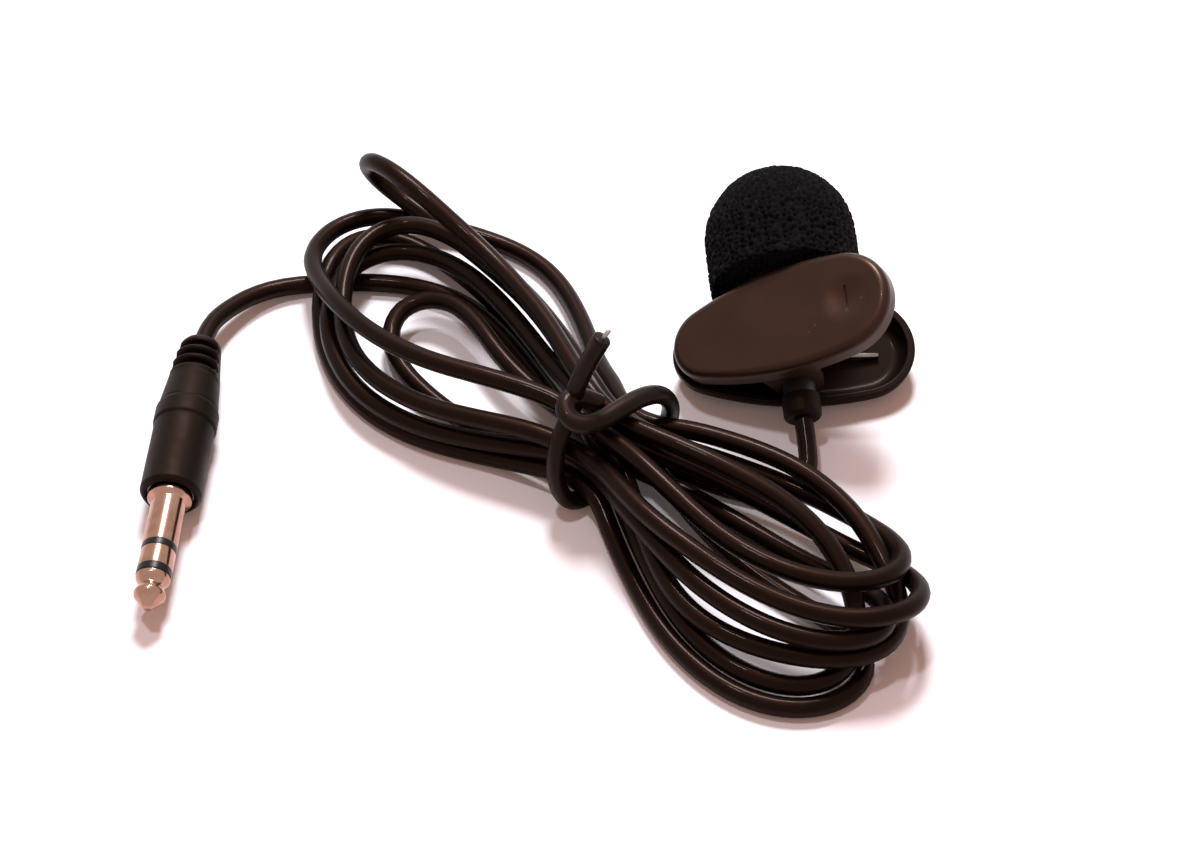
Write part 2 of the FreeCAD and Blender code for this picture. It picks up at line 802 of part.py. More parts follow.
def plug_end_points():
    """Route from the hank's last end, round the left lobe and down to the strain relief."""
    end, heading = hank_end()
    top = end.z
    drop = top - bead_radius
    return [
        end,
        end + heading * shoulder_run,
        hank_place(*shoulder_place, top - 0.3 * drop),
        hank_place(*side_place, top - 0.7 * drop),
        plug_place(-plug_run),
        plug_place(0.0),
    ]


# The twist tie

def tie_points():
    """Route of the tie: down its free end, once round the waist, and once round its own free end."""
    under = tie_radius
    over = 2.0 * cord_radius + waist_lift + layer_step * (hank_layers - 1) + tie_clearance + tie_radius
    edge = cord_radius + tie_clearance + tie_radius
    near = waist_half(11) + edge
    far = waist_half(13) + edge
    u = tie_knot_u
    v = tie_knot_v
    return [
        hank_place(u, v, over + tie_free_height),
        hank_place(u, v, over),
        hank_place(u, -near, over),
        hank_place(u + tie_slant / 2.0, -near, under),
        hank_place(u + tie_slant, far, under),
        hank_place(u + tie_slant, far, over),
        hank_place(u + tie_wrap, v - tie_wrap, over + 0.7 * tie_wrap),
        hank_place(u - tie_wrap, v - tie_wrap, over + 1.5 * tie_wrap),
        hank_place(u - tie_wrap, v + tie_wrap, over + 2.0 * tie_wrap),
        hank_place(u + 1.2 * tie_wrap, v + tie_wrap, over + 2.6 * tie_wrap),
    ]


def twist_tie():
    """Plastic coating and the wire inside it, which stands out bare at the free end."""
    points = tie_points()
    heading = heading_of(points[0], points[1])
    edges = route_edges(points, tie_bend_radius)
    bare_points = [points[0] - heading * tie_bare_end] + points[1:]
    wire = round_tube(route_edges(bare_points, tie_bend_radius), tie_core_radius, heading)
    coating = round_tube(edges, tie_radius, heading).cut(round_tube(edges, tie_core_radius, heading))
    return {"tie_coating": coating, "tie_wire": wire}


# The plug, drawn along Z from the cord end of its strain relief and then laid down

def turned(profile):
    """Solid turned from (radius, z) points round the plug's axis."""
    points = [Vector(r, 0, z) for r, z in profile]
    face = Part.Face(Part.makePolygon(points + points[:1]))
    return face.revolve(Vector(0, 0, 0), Vector(0, 0, 1), 360)


def tube_z(outer, inner, z0, z1):
    """Washer or tube on the plug's axis."""
    solid = Part.makeCylinder(outer, z1 - z0, Vector(0, 0, z0))
    return solid.cut(Part.makeCylinder(inner, z1 - z0 + 2.0, Vector(0, 0, z0 - 1.0))) if inner else solid


def lay_plug(shape):
    """Lays a piece of the plug along the table, pointing its tip along the heading."""
    shape.rotate(Vector(0, 0, 0), Vector(0, 1, 0), 90)
    shape.rotate(Vector(0, 0, 0), Vector(0, 0, 1), plug_heading)
    shape.translate(Vector(plug_x, plug_y, bead_radius))
    return shape


def plug_pieces():
    """Every piece of the plug, still upright: name and solid."""
    pieces = {}
    tip_end = shell_length + contact_length
    tip_back = tip_end - tip_length
    ring_front = tip_back - insulator_width
    ring_back = ring_front - ring_width
    sleeve_front = ring_back - insulator_width
    core_back = shell_length - core_length
    core_front = shell_length - collar_thickness
    cord_end = relief_length + crimp_length
    shell = turned([
        (0.0, 0.0),
        (relief_end_radius, 0.0),
        (relief_front_radius, relief_length),
        (shell_radius, shell_shoulder),
        (bead_radius, shell_shoulder + shell_edge / 2.0),
        (bead_radius, shell_shoulder + bead_length),
        (shell_radius, shell_shoulder + bead_length + shell_edge / 2.0),
        (shell_radius, shell_length - shell_edge),
        (shell_radius - shell_edge, shell_length),
        (0.0, shell_length),
    ])
    for k in range(relief_slot_count):
        z = relief_slot_first + relief_slot_pitch * k
        outer = relief_end_radius + (relief_front_radius - relief_end_radius) * z / relief_length
        bottom = outer - relief_slot_depth
        for y in (bottom, -bottom - outer):
            shell = shell.cut(Part.makeBox(2.0 * outer, outer, relief_slot_width, Vector(-outer, y, z)))
    shell = shell.cut(tube_z(cord_radius + press_clearance, 0, -1.0, cord_end))
    shell = shell.cut(tube_z(core_radius + inner_gap, 0, relief_length, shell_length + 1.0))
    pieces["plug_overmold"] = shell
    pieces["plug_cord_inner"] = tube_z(cord_radius, 0, 0.0, cord_end)
    crimp_start = relief_length + inner_gap
    pieces["plug_crimp"] = tube_z(crimp_radius, cord_radius + press_clearance, crimp_start, cord_end)
    core = tube_z(core_radius, shank_radius + press_clearance, core_back, core_front)
    pieces["plug_core"] = core
    collar_back = core_front + inner_gap
    collar_front = shell_length + collar_thickness
    pieces["plug_sleeve"] = turned([
        (sleeve_inner_radius, core_back - tail_step),
        (shank_radius, core_back - tail_step),
        (shank_radius, collar_back),
        (collar_radius, collar_back),
        (collar_radius, collar_front),
        (contact_radius, collar_front + collar_taper),
        (contact_radius, sleeve_front),
        (sleeve_inner_radius, sleeve_front),
    ])
    ring_tube = tube_z(ring_tube_radius, ring_tube_inner_radius, core_back - 2.0 * tail_step, ring_front)
    ring_band = tube_z(contact_radius, ring_tube_inner_radius, ring_back, ring_front)
    pieces["plug_ring"] = ring_tube.fuse(ring_band)
    tip = turned([
        (0.0, core_back - 3.0 * tail_step),
        (tip_rod_radius, core_back - 3.0 * tail_step),
        (tip_rod_radius, tip_back),
        (contact_radius, tip_back),
        (contact_radius, tip_end - tip_neck_at - tip_shoulder / 2.0),
        (tip_neck_radius, tip_end - tip_neck_at),
        (contact_radius, tip_end - tip_shoulder),
        (tip_nose_radius, tip_end),
        (0.0, tip_end),
    ])
    pieces["plug_tip"] = tip
    gap = inner_gap
    rod_fit = tip_rod_radius + gap
    tube_fit = ring_tube_radius + gap
    sleeve_tail = core_back - tail_step
    ring_tail = sleeve_tail - tail_step
    pieces["plug_insulator_front"] = tube_z(contact_radius, rod_fit, ring_front + gap, tip_back - gap)
    pieces["plug_insulator_rear"] = tube_z(contact_radius, tube_fit, sleeve_front + gap, ring_back - gap)
    pieces["plug_liner_outer"] = tube_z(sleeve_inner_radius - gap, tube_fit, sleeve_tail, sleeve_front)
    pieces["plug_liner_inner"] = tube_z(ring_tube_inner_radius - gap, rod_fit, ring_tail, ring_front)
    return pieces


def plug_leads():
    """Leads from the cord to the tails of the contacts inside the plug, still upright."""
    cord_end = relief_length + crimp_length
    tip_tail = shell_length - core_length - 3.0 * tail_step
    ring_tail = shell_length - core_length - 2.0 * tail_step
    sleeve_tail = shell_length - core_length - tail_step
    leads = {}
    signal_end = Vector(0, 0, tip_tail - inner_gap)
    leads["plug_signal_wire"] = bar(Vector(0, 0, cord_end + inner_gap), signal_end, lead_radius)
    bend = ring_tube_radius + lead_radius + inner_gap
    bridge_start = Vector(bend, 0, ring_tail)
    leads["plug_bridge_wire"] = bar(bridge_start, Vector(bend, 0, sleeve_tail - inner_gap), lead_radius)
    shield_x = shank_radius - 2.0 * lead_radius
    shield_start = Vector(-shield_x, 0, cord_end + inner_gap)
    leads["plug_shield_wire"] = bar(shield_start, Vector(-shield_x, 0, sleeve_tail - inner_gap), lead_radius)
    return leads


def build():
    """Every node of the part: name and solid, in the row's frame."""
    nodes = {}
    head = {
        "clip_base": clip_base(),
        "clip_lever": clip_lever(),
        "clip_spring": clip_spring(),
        "head_housing": head_housing(),
        "cord_gland": cord_gland(),
        "head_grille": head_grille(),
        "dust_felt": rod(cup_radius - cup_wall - press_clearance, can_front + inner_gap, felt_front),
        "capsule_sleeve": capsule_sleeve(),
        "capsule_can": capsule_can(),
        "foam_windscreen": foam_windscreen(),
        "cord_inner": rod(cord_radius, gland_end, cord_inner_end),
        "cord_clamp": ring(cord_radius + ferrule_wall, cord_radius, cup_floor, cup_floor + ferrule_length),
    }
    head.update(capsule_stack())
    head.update(head_leads())
    for name, shape in head.items():
        nodes[name] = lay_down(shape)
    nodes["cord_head_end"] = free_stretch("cord_head_end", head_end_points())
    nodes["cord_hank"] = cord_hank()
    nodes["cord_plug_end"] = free_stretch("cord_plug_end", plug_end_points())
    nodes.update(twist_tie())
    plug = plug_pieces()
    plug.update(plug_leads())
    for name, shape in plug.items():
        nodes[name] = lay_plug(shape)
    return nodes


os.makedirs("parts", exist_ok=True)
for node, solid in build().items():
    solid.exportStep("parts/%s.step" % node)
    print("%-22s solids %d volume %9.3f valid %s" % (node, len(solid.Solids), solid.Volume, solid.isValid()))
hinge = laid_point(stem_x, 0.0, stem_height)
print("hinge at %.4f %.4f %.4f" % (hinge.x, hinge.y, hinge.z))
print("stem's direction 0 %.6f %.6f" % (math.cos(tilt), math.sin(tilt)))
exit_point = laid_point(stem_x, gland_end, stem_height)
print("cord exit %.3f %.3f %.3f, tilt %.3f" % (exit_point.x, exit_point.y, exit_point.z, math.degrees(tilt)))
tip_point = plug_place(shell_length + contact_length)
print("plug tip %.3f %.3f %.3f" % (tip_point.x, tip_point.y, tip_point.z))
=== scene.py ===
# %% [markdown]
# # A clip-on microphone with its cord tied in a hank
#
# The frame comes first: the imported model, which says where every solid is and what moves with what.
# Everything after this dresses those solids in metres, in the same place.

# %% Load the frame
import math
import bpy
import numpy as np
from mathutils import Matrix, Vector


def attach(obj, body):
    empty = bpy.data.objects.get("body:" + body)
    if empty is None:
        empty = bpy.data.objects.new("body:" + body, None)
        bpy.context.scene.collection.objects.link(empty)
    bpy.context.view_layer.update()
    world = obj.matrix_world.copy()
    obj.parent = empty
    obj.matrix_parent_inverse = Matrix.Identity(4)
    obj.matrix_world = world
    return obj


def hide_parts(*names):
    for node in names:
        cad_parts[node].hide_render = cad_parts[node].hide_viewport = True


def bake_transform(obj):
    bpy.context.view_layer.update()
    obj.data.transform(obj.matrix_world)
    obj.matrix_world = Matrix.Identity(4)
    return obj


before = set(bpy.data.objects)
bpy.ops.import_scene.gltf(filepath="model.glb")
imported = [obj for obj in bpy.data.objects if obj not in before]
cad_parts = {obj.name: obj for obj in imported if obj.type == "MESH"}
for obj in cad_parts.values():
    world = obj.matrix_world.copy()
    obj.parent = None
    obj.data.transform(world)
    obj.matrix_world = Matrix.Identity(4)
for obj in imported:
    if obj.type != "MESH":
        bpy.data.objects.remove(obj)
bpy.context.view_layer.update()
MM = 0.001
print("nodes in the frame:", len(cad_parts))

# %% [markdown]
# The camera stands where the photograph was taken from: 26 cm from the table's middle, 49.5 degrees above
# the table. It is made before anything else, because the cord's lie is judged through it.

# %% Camera
camera_data = bpy.data.cameras.new("camera")
camera_data.sensor_width = 36.0
camera_data.lens = 74.07
camera_data.clip_start = 0.01
camera = bpy.data.objects.new("camera", camera_data)
bpy.context.scene.collection.objects.link(camera)
bpy.context.scene.camera = camera
camera_at = Vector((-0.035801, -0.177836, 0.197706))
aim = Vector((-0.021084, -0.009622, 0.0))
camera.location = camera_at
camera.rotation_euler = (aim - camera_at).to_track_quat("-Z", "Y").to_euler()
print("camera distance in mm:", round((aim - camera_at).length / MM, 1))

# %% [markdown]
# Colours are written as sRGB hex values, as a paint chart gives them, and turned to the linear values that
# shaders work in. One function adds any node with its settings and links. The others start a material, add
# an object, and join rings of points by quads and poles into a mesh.

# %% Colour, node and mesh helpers
def linear(hex_colour):
    """sRGB hex to linear RGBA: c / 12.92 up to 0.04045, ((c + 0.055) / 1.055) to the power 2.4 above."""
    c = np.array([int(hex_colour[i:i + 2], 16) for i in (1, 3, 5)]) / 255.0
    low = c / 12.92
    high = ((c + 0.055) / 1.055) ** 2.4
    return (*np.where(c <= 0.04045, low, high).tolist(), 1.0)


def node(tree, kind, inputs=None, **settings):
    """Adds one shader node of a kind. Settings are its properties; inputs are its sockets, each a value, a
    socket to link, or a node whose first output is linked."""
    made = tree.nodes.new("ShaderNode" + kind)
    for name, value in settings.items():
        setattr(made, name, value)
    for name, value in (inputs or {}).items():
        if isinstance(value, bpy.types.Node):
            value = value.outputs[0]
        if isinstance(value, bpy.types.NodeSocket):
            tree.links.new(value, made.inputs[name])
        else:
            made.inputs[name].default_value = value
    return made


def start_material(name):
    """A new material and its empty node tree."""
    material = bpy.data.materials.new(name)
    material.use_nodes = True
    material.node_tree.nodes.clear()
    return material, material.node_tree


def add_object(name, data):
    """An object for this data, in the scene."""
    made = bpy.data.objects.new(name, data)
    bpy.context.scene.collection.objects.link(made)
    return made


def put_mesh(name, points, faces, smooth=True):
    """Object at the origin with its place in its mesh: points in mm as an array, faces as index rows."""
    mesh = bpy.data.meshes.new(name)
    mesh.from_pydata((np.asarray(points, float) * MM).tolist(), [], faces)
    mesh.polygons.foreach_set("use_smooth", np.full(len(mesh.polygons), smooth))
    mesh.update()
    return add_object(name, mesh)


def grid_faces(rows, columns, wrap_rows=False):
    """Quads between rings of points: point (i, j) is number i * columns + j. The last column joins the
    first, and the last row does where it wraps."""
    i = np.arange(rows if wrap_rows else rows - 1)[:, None]
    j = np.arange(columns)[None, :]
    i2 = (i + 1) % rows
    j2 = (j + 1) % columns
    quads = np.stack([i * columns + j, i * columns + j2, i2 * columns + j2, i2 * columns + j], axis=-1)
    return quads.reshape(-1, 4).tolist()


def capped_faces(rows, columns):
    """The same quads, and a fan from each end ring to its pole; the poles are the two points after the
    grid's."""
    j = np.arange(columns)
    j2 = (j + 1) % columns
    pole = np.full(columns, rows * columns)
    last = (rows - 1) * columns
    fans = np.vstack([np.column_stack([pole, j2, j]), np.column_stack([pole + 1, last + j, last + j2])])
    return grid_faces(rows, columns) + fans.tolist()


# %% [markdown]
# ## The cord
#
# The real cord is black PVC, 2 mm thick and limp. It leaves the head's strain relief, goes round six and a
# half loops that are tied at the waist, and ends in the plug. All of it is one spline, so its length is the
# length of a real cord. The loops are written in the hank's own axes: u along it, v across it to the far
# side, z up, from the point under the tie.

# %% The hank's own axes
hank_origin = np.array([-22.6, -17.9])
hank_angle = math.radians(-45.0)
cord_radius = 1.0


def from_hank(points):
    """Row places of (u, v, z) points: a turn by the hank's angle, then a shift to its origin."""
    p = np.atleast_2d(np.asarray(points, float))
    c, s = math.cos(hank_angle), math.sin(hank_angle)
    x = hank_origin[0] + p[:, 0] * c - p[:, 1] * s
    y = hank_origin[1] + p[:, 0] * s + p[:, 1] * c
    return np.column_stack([x, y, p[:, 2]])


def to_hank(points):
    """(u, v, z) of row places: the inverse of from_hank."""
    c, s = math.cos(hank_angle), math.sin(hank_angle)
    x = points[:, 0] - hank_origin[0]
    y = points[:, 1] - hank_origin[1]
    return np.column_stack([x * c + y * s, y * c - x * s, points[:, 2]])


# %% [markdown]
# Each turn of the hank is different: one stands up at the left, one lies loose, the others fan out. Every
# turn crosses the waist twice, at a place of its own in the bundle, and each lobe is a dozen points from
# one crossing to the next. A few loops still run through each other; the next cell lets them settle.

# %% Control points of the hank, turn by turn
waist_places = [  # (v, z) in the bundle under the tie, in the order in which the cord passes
    (5.0, 2.9), (-2.3, 3.0), (3.7, 4.8), (0.2, 2.9), (2.9, 8.6), (1.2, 4.8), (6.3, 5.4),
    (0.6, 8.5), (4.5, 6.7), (-1.9, 6.8), (2.2, 6.8), (-1.3, 4.8), (2.6, 2.9),
]
left_lobes = {  # far arm, tip, near arm
    "wide and low": [
        (-6, 7.2, 2.0), (-14.6, 9.2, 1.2), (-21.1, 11.0, 1.0), (-28, 12.6, 1.0), (-34.6, 13.2, 1.4),
        (-39.8, 11.4, 2.4), (-41.6, 7.6, 3.0), (-40.2, 3.0, 3.0), (-37, -1.4, 2.4), (-32, -5.8, 1.0),
        (-25, -8.3, 1.0), (-17.9, -7.9, 1.0), (-9, -4.4, 1.5)],
    "innermost": [
        (-6, 3.2, 4.4), (-12.1, 3.5, 4.8), (-17, 4.6, 5.0), (-20.8, 6.2, 5.0), (-24.4, 7.2, 4.8),
        (-27.6, 7.0, 4.3), (-30.0, 5.0, 3.7), (-30.1, 2.0, 3.2), (-28.0, -0.6, 2.8), (-24.6, -2.2, 2.4),
        (-20.6, -2.8, 2.0), (-16.2, -3.0, 1.7), (-11.4, -2.6, 1.6), (-6, -1.0, 2.2)],
    "standing up": [
        (-3, 3.2, 9.2), (-8.5, 5.9, 9.2), (-14.3, 8.9, 9.0), (-23.1, 11.6, 8.8), (-28.6, 12.1, 9.8),
        (-33.6, 12.2, 11.3), (-37.2, 12.3, 12.0), (-40.6, 12.5, 12.0), (-43.2, 12.9, 10.8),
        (-44.5, 13.6, 8.7), (-44.0, 14.4, 6.4), (-41.4, 15.0, 4.8), (-37.6, 15.1, 4.3), (-33.4, 14.6, 4.5),
        (-27.4, 13.7, 5.2), (-18, 11.8, 5.7), (-9, 8.0, 5.4), (-4, 4.4, 4.8)],
    "loose": [
        (-3.6, 8.4, 5.0), (-8.4, 11.0, 3.2), (-12.4, 14.1, 2.3), (-16.9, 17.2, 1.6), (-22.3, 19.7, 1.2),
        (-28.2, 19.9, 1.2), (-34.4, 17.6, 2.0), (-40.2, 14.6, 3.0), (-43.4, 11.0, 3.2), (-44.2, 6.4, 3.2),
        (-41.8, 2.2, 3.6), (-37.3, -0.4, 5.0), (-32.3, -2.7, 6.8), (-26.4, -4.2, 8.2), (-19.2, -4.0, 9.2),
        (-12.4, -1.6, 9.5), (-5.4, 0.8, 9.2)],
    "upper": [
        (-6, 6.4, 7.0), (-13.5, 9.8, 6.6), (-19.4, 11.7, 6.4), (-25.8, 12.9, 6.0), (-32.4, 13.4, 5.8),
        (-37, 11.8, 5.6), (-38.9, 8.0, 5.4), (-38.0, 3.6, 5.2), (-36.0, 0.2, 5.1), (-33.2, -2.8, 5.1),
        (-29.6, -5.4, 5.2), (-24.4, -7.0, 5.4), (-17.4, -6.8, 6.0), (-11, -4.8, 6.8), (-5.6, -2.6, 7.0)],
    "middle": [
        (-6, 4.6, 6.2), (-11, 6.2, 5.8), (-17.4, 8.8, 5.4), (-24.2, 11.0, 4.8), (-30, 11.9, 4.2),
        (-35.2, 10.8, 3.8), (-38.2, 7.2, 4.0), (-38.2, 2.4, 4.2), (-35.6, -2.4, 3.6), (-31.2, -6.0, 3.0),
        (-25, -8.4, 3.0), (-17.5, -7.9, 3.2), (-10, -4.8, 3.8), (-4, -2.0, 4.4)],
}
right_lobes = {  # near arm, tip, far arm
    "on the table": [
        (5, -3.8, 2.2), (10, -6.6, 1.2), (16.0, -9.6, 1.0), (21.0, -11.2, 1.0), (26.0, -11.7, 1.0),
        (30.4, -10.8, 1.0), (34.0, -8.4, 1.0), (36.2, -4.8, 1.0), (36.0, -0.8, 1.0), (32.2, 1.6, 1.0),
        (26, 1.0, 1.0), (17, 1.1, 1.4), (9, 3.0, 2.6)],
    "low, turned up": [
        (6, -2.0, 3.0), (12, -5.6, 3.0), (18, -8.8, 2.9), (24, -10.1, 2.8), (29.6, -9.4, 2.9),
        (34.0, -6.8, 3.1), (35.2, -2.4, 3.8), (32.8, 1.8, 5.2), (28.2, 4.6, 7.0), (22.4, 6.0, 8.3),
        (15, 5.3, 9.0), (7, 3.7, 9.1)],
    "middle": [
        (6, -1.4, 4.8), (11, -4.9, 4.7), (16.2, -7.9, 4.6), (20.6, -8.8, 4.6), (25.2, -8.3, 4.6),
        (30.0, -6.5, 4.7), (34.4, -3.4, 4.8), (36.4, 0.8, 4.8), (34.9, 5.2, 5.1), (31.2, 8.4, 5.7),
        (26.8, 10.5, 6.1), (21.8, 11.5, 6.3), (15.8, 11.2, 6.4), (8, 8.8, 6.0)],
    "on top": [
        (5.8, -0.1, 9.2), (11.5, -1.2, 9.2), (18.0, -2.4, 9.0), (24.4, -2.0, 8.9), (29.8, 0.0, 8.8),
        (33.0, 3.6, 8.3), (32.6, 7.8, 7.0), (27.6, 10.4, 5.0), (18, 10.6, 4.4), (8, 8.0, 4.7)],
    "furthest out": [
        (5, -2.8, 7.4), (10, -4.6, 8.2), (15.5, -5.2, 8.5), (22.4, -5.3, 8.2), (29.4, -4.2, 7.9),
        (34.8, -1.4, 7.7), (37.2, 3.0, 7.3), (35.6, 6.8, 6.0), (31.4, 8.1, 4.4), (26.4, 7.6, 4.0),
        (19, 7.1, 4.2), (10, 5.3, 5.4)],
    "under it": [
        (5, -2.6, 5.4), (11, -4.8, 6.2), (19, -6.9, 6.4), (27.0, -6.6, 6.4), (33.2, -4.0, 6.3),
        (36.6, 0.0, 6.2), (36.0, 3.8, 5.2), (31.6, 5.2, 3.8), (24.5, 4.4, 3.0), (14, 4.1, 2.9),
        (6, 3.6, 2.9)],
}
head_route = np.array([(-0.3, -13.88, 3.46), (-0.2, -16.8, 2.60), (-0.5, -20.2, 1.45),
                       (-4.6, -22.3, 1.0), (-9.2, -20.5, 1.0)])
last_arm = [(-6, 4.2, 2.6), (-13, 7.0, 1.6), (-20, 9.6, 1.0), (-27.5, 10.4, 1.0), (-34.2, 7.8, 1.0)]
plug_route = np.array([(-49.0, 12.4, 1.0), (-53.4, 12.3, 1.1), (-57.4, 10.6, 1.7), (-60.6, 7.4, 2.5),
                       (-62.1, 4.6, 3.1), (-62.6, 1.9, 3.3)])
across = np.array([2.6, 0.5, -1.6])

turns = [[(5.6, 6.0, 1.8)]]
for k, (left, right) in enumerate(zip(left_lobes.values(), right_lobes.values())):
    out_place = waist_places[2 * k]
    back_place = waist_places[2 * k + 1]
    turns.append([(u, *out_place) for u in across] + left)
    turns.append([(u, *back_place) for u in across[::-1]] + right)
turns.append([(u, *waist_places[-1]) for u in across] + last_arm)
hank_points = np.array([p for turn in turns for p in turn], float)
route = np.vstack([head_route, from_hank(hank_points), plug_route])
print("control points:", len(route), "of which a turn has", round(len(hank_points) / 6.5))

# %% [markdown]
# A real hank settles: where two strands would share a place, one slides over the other, and everything
# sinks until it rests. This cell does that to the spline's line, read every millimetre. Strands that are
# closer than a diameter are pushed apart, a little more in height than sideways. The pushes are smoothed
# along the cord, because a cord bends and doesn't kink, and the table holds it up.

# %% Let the hank settle
line_step = 1.0  # mm between the points of the line
same_strand = 8  # two points fewer steps apart than this are never pushed
push_ways = (1.0, 1.0, 1.6)
push_share = 1.2  # a push is overdone a little, which takes fewer rounds
sinking = 0.004  # mm down in each round
kept_share = 0.9985  # of all movement so far, so that the drawn shape is kept
calm_rounds = 12  # the last ones, without sinking and with less smoothing


def spline_line(p, steps):
    """Points on the quadratic B-spline of control points p: between the middles a and b of two runs the
    line is (1 - t)^2 a + 2 t (1 - t) p + t^2 b."""
    a = np.vstack([p[:1], (p[1:-2] + p[2:-1]) / 2.0])[:, None, :]
    b = np.vstack([(p[1:-2] + p[2:-1]) / 2.0, p[-1:]])[:, None, :]
    t = np.linspace(0.0, 1.0, steps, endpoint=False)[None, :, None]
    line = (1 - t) ** 2 * a + 2 * t * (1 - t) * p[1:-1, None, :] + t ** 2 * b
    return np.vstack([line.reshape(-1, 3), p[-1:]])


def read_along(line, spacing):
    """The same line at even steps of its own length."""
    step = np.linalg.norm(np.diff(line, axis=0), axis=1)
    at = np.concatenate([[0.0], np.cumsum(step)])
    want = np.linspace(0.0, at[-1], int(round(at[-1] / spacing)) + 1)
    return np.column_stack([np.interp(want, at, line[:, k]) for k in range(3)])


def settle(line, held, apart, rounds):
    """Moves the free points of a line until no two strands are nearer than apart."""
    moved = np.zeros_like(line)
    for turn in range(rounds):
        now = line + moved
        flat = (now - now.mean(axis=0)).astype(np.float32)
        square = (flat ** 2).sum(axis=1)
        near = square[:, None] + square[None, :] - 2.0 * flat @ flat.T < apart ** 2
        i, j = np.nonzero(np.triu(near, same_strand))
        gap = now[i] - now[j]
        length = np.maximum(np.linalg.norm(gap, axis=1), 1e-6)
        gap = gap / length[:, None] * (0.5 * (apart - length))[:, None] * push_ways
        push = np.zeros_like(line)
        count = np.zeros(len(line))
        for index, way in ((i, 1.0), (j, -1.0)):
            np.add.at(push, index, way * gap)
            np.add.at(count, index, 1.0)
        moved += push_share * push / np.maximum(count, 1.0)[:, None]
        calm = turn > rounds - calm_rounds
        if not calm:
            moved[:, 2] -= sinking
            moved *= kept_share
        for _ in range(1 if calm else 3):
            moved[1:-1] = 0.25 * moved[:-2] + 0.5 * moved[1:-1] + 0.25 * moved[2:]
        moved[:, 2] = np.maximum(moved[:, 2], cord_radius - line[:, 2])
        moved[held] = 0.0
    return line + moved


first_line = read_along(spline_line(route, 40), line_step)
seen = to_hank(first_line)
tied_middle, tied_reach, tied_above = (0.5, 2.7), (1.6, 5.8), 2.5  # (u, v) and z of what the tie holds
held = (np.abs(seen[:, :2] - tied_middle) < tied_reach).all(axis=1) & (seen[:, 2] > tied_above)
held[:6] = True  # at the gland
held[-18:] = True  # at the plug
settled = settle(first_line, held, apart=2.1, rounds=150)
print("cord length in mm:", round(float(np.linalg.norm(np.diff(settled, axis=0), axis=1).sum()), 1))

# %% [markdown]
# The cord itself is one NURBS spline of order 3 with a round section. The ends are the route's own points;
# the turns are every third point of the settled line, from where the ends leave it.

# %% The cord
def nearest_settled(place):
    """Number of the settled line's point that is nearest to a place."""
    return int(np.argmin(np.linalg.norm(settled - place, axis=1)))


start_turns = nearest_settled((route[3] + route[4]) / 2.0)
end_turns = nearest_settled((route[-6] + route[-5]) / 2.0)
cord_points = np.vstack([route[:4], settled[start_turns + 2:end_turns - 1:3], route[-5:]])
cord_data = bpy.data.curves.new("cord", "CURVE")
cord_data.dimensions = "3D"
cord_data.bevel_depth = cord_radius * MM
cord_data.bevel_resolution = 4
cord_data.resolution_u = 3
cord_data.use_fill_caps = True
spline = cord_data.splines.new("NURBS")
spline.points.add(len(cord_points) - 1)
spline.points.foreach_set("co", np.column_stack([cord_points * MM, np.ones(len(cord_points))]).ravel())
spline.order_u = 3
spline.use_endpoint_u = True
cord = add_object("cord", cord_data)
print("control points of the cord:", len(cord_points))

# %% [markdown]
# ## The twist tie
#
# A steel wire with a PVC coat, about as thick as the cord. It goes once round the waist; one end rises past
# the hook that the other end makes, and its last millimetre of wire is bare. The coat is a little flat and
# cut square, so it is a section carried along the tie's line: at each point of the line, a ring of points is
# laid out by two directions square to it.

# %% The tie's line
tie_points = [  # (u, v, z), from the hooked end over the top, round the waist and out to the free end
    (-0.6, 1.9, 10.6), (-2.0, 0.9, 11.7), (-2.7, -0.6, 12.1), (-1.9, -2.0, 11.9), (-0.1, -2.3, 11.5),
    (1.2, -0.5, 11.2), (1.6, 2.3, 11.0), (2.0, 5.4, 10.6), (2.6, 7.8, 9.4), (2.9, 9.1, 7.0),
    (2.6, 9.4, 4.2), (2.2, 8.5, 1.7), (1.8, 6.0, 0.92), (1.5, 2.5, 0.9), (1.2, -1.5, 0.9),
    (0.7, -4.1, 1.5), (-0.2, -4.9, 3.2), (-1.0, -4.7, 5.6), (-1.6, -3.6, 8.0), (-2.0, -1.9, 9.8),
    (-2.3, -0.2, 10.6), (-2.5, 0.3, 12.4), (-2.3, 1.1, 14.4), (-1.9, 2.2, 16.6), (-1.4, 3.2, 18.6),
]
cut_rim = ((0.93, 0.10), (0.78, 0.15), (0.4, 0.16))  # share of the section and mm past the cut


def frames_along(line):
    """Two unit directions square to a line at each of its points, carried from one point to the next with
    as little turn as possible: each is the last one, less its part along the new direction."""
    along = np.gradient(line, axis=0)
    along /= np.linalg.norm(along, axis=1)[:, None]
    side = np.empty_like(line)
    guess = np.cross(along[0], (0.0, 0.0, 1.0))
    for k, way in enumerate(along):
        guess = guess - way * (guess @ way)
        guess = guess / np.linalg.norm(guess)
        side[k] = guess
    return side, np.cross(along, side)


def carry(line, across, up, sides):
    """Rings along a line: point j of ring i is line_i + across cos(a_j) side_i + up sin(a_j) top_i."""
    side, top = frames_along(line)
    a = (np.arange(sides) * 2.0 * np.pi / sides)[None, :, None]
    return line[:, None, :] + (across * np.cos(a) * side[:, None, :] + up * np.sin(a) * top[:, None, :])


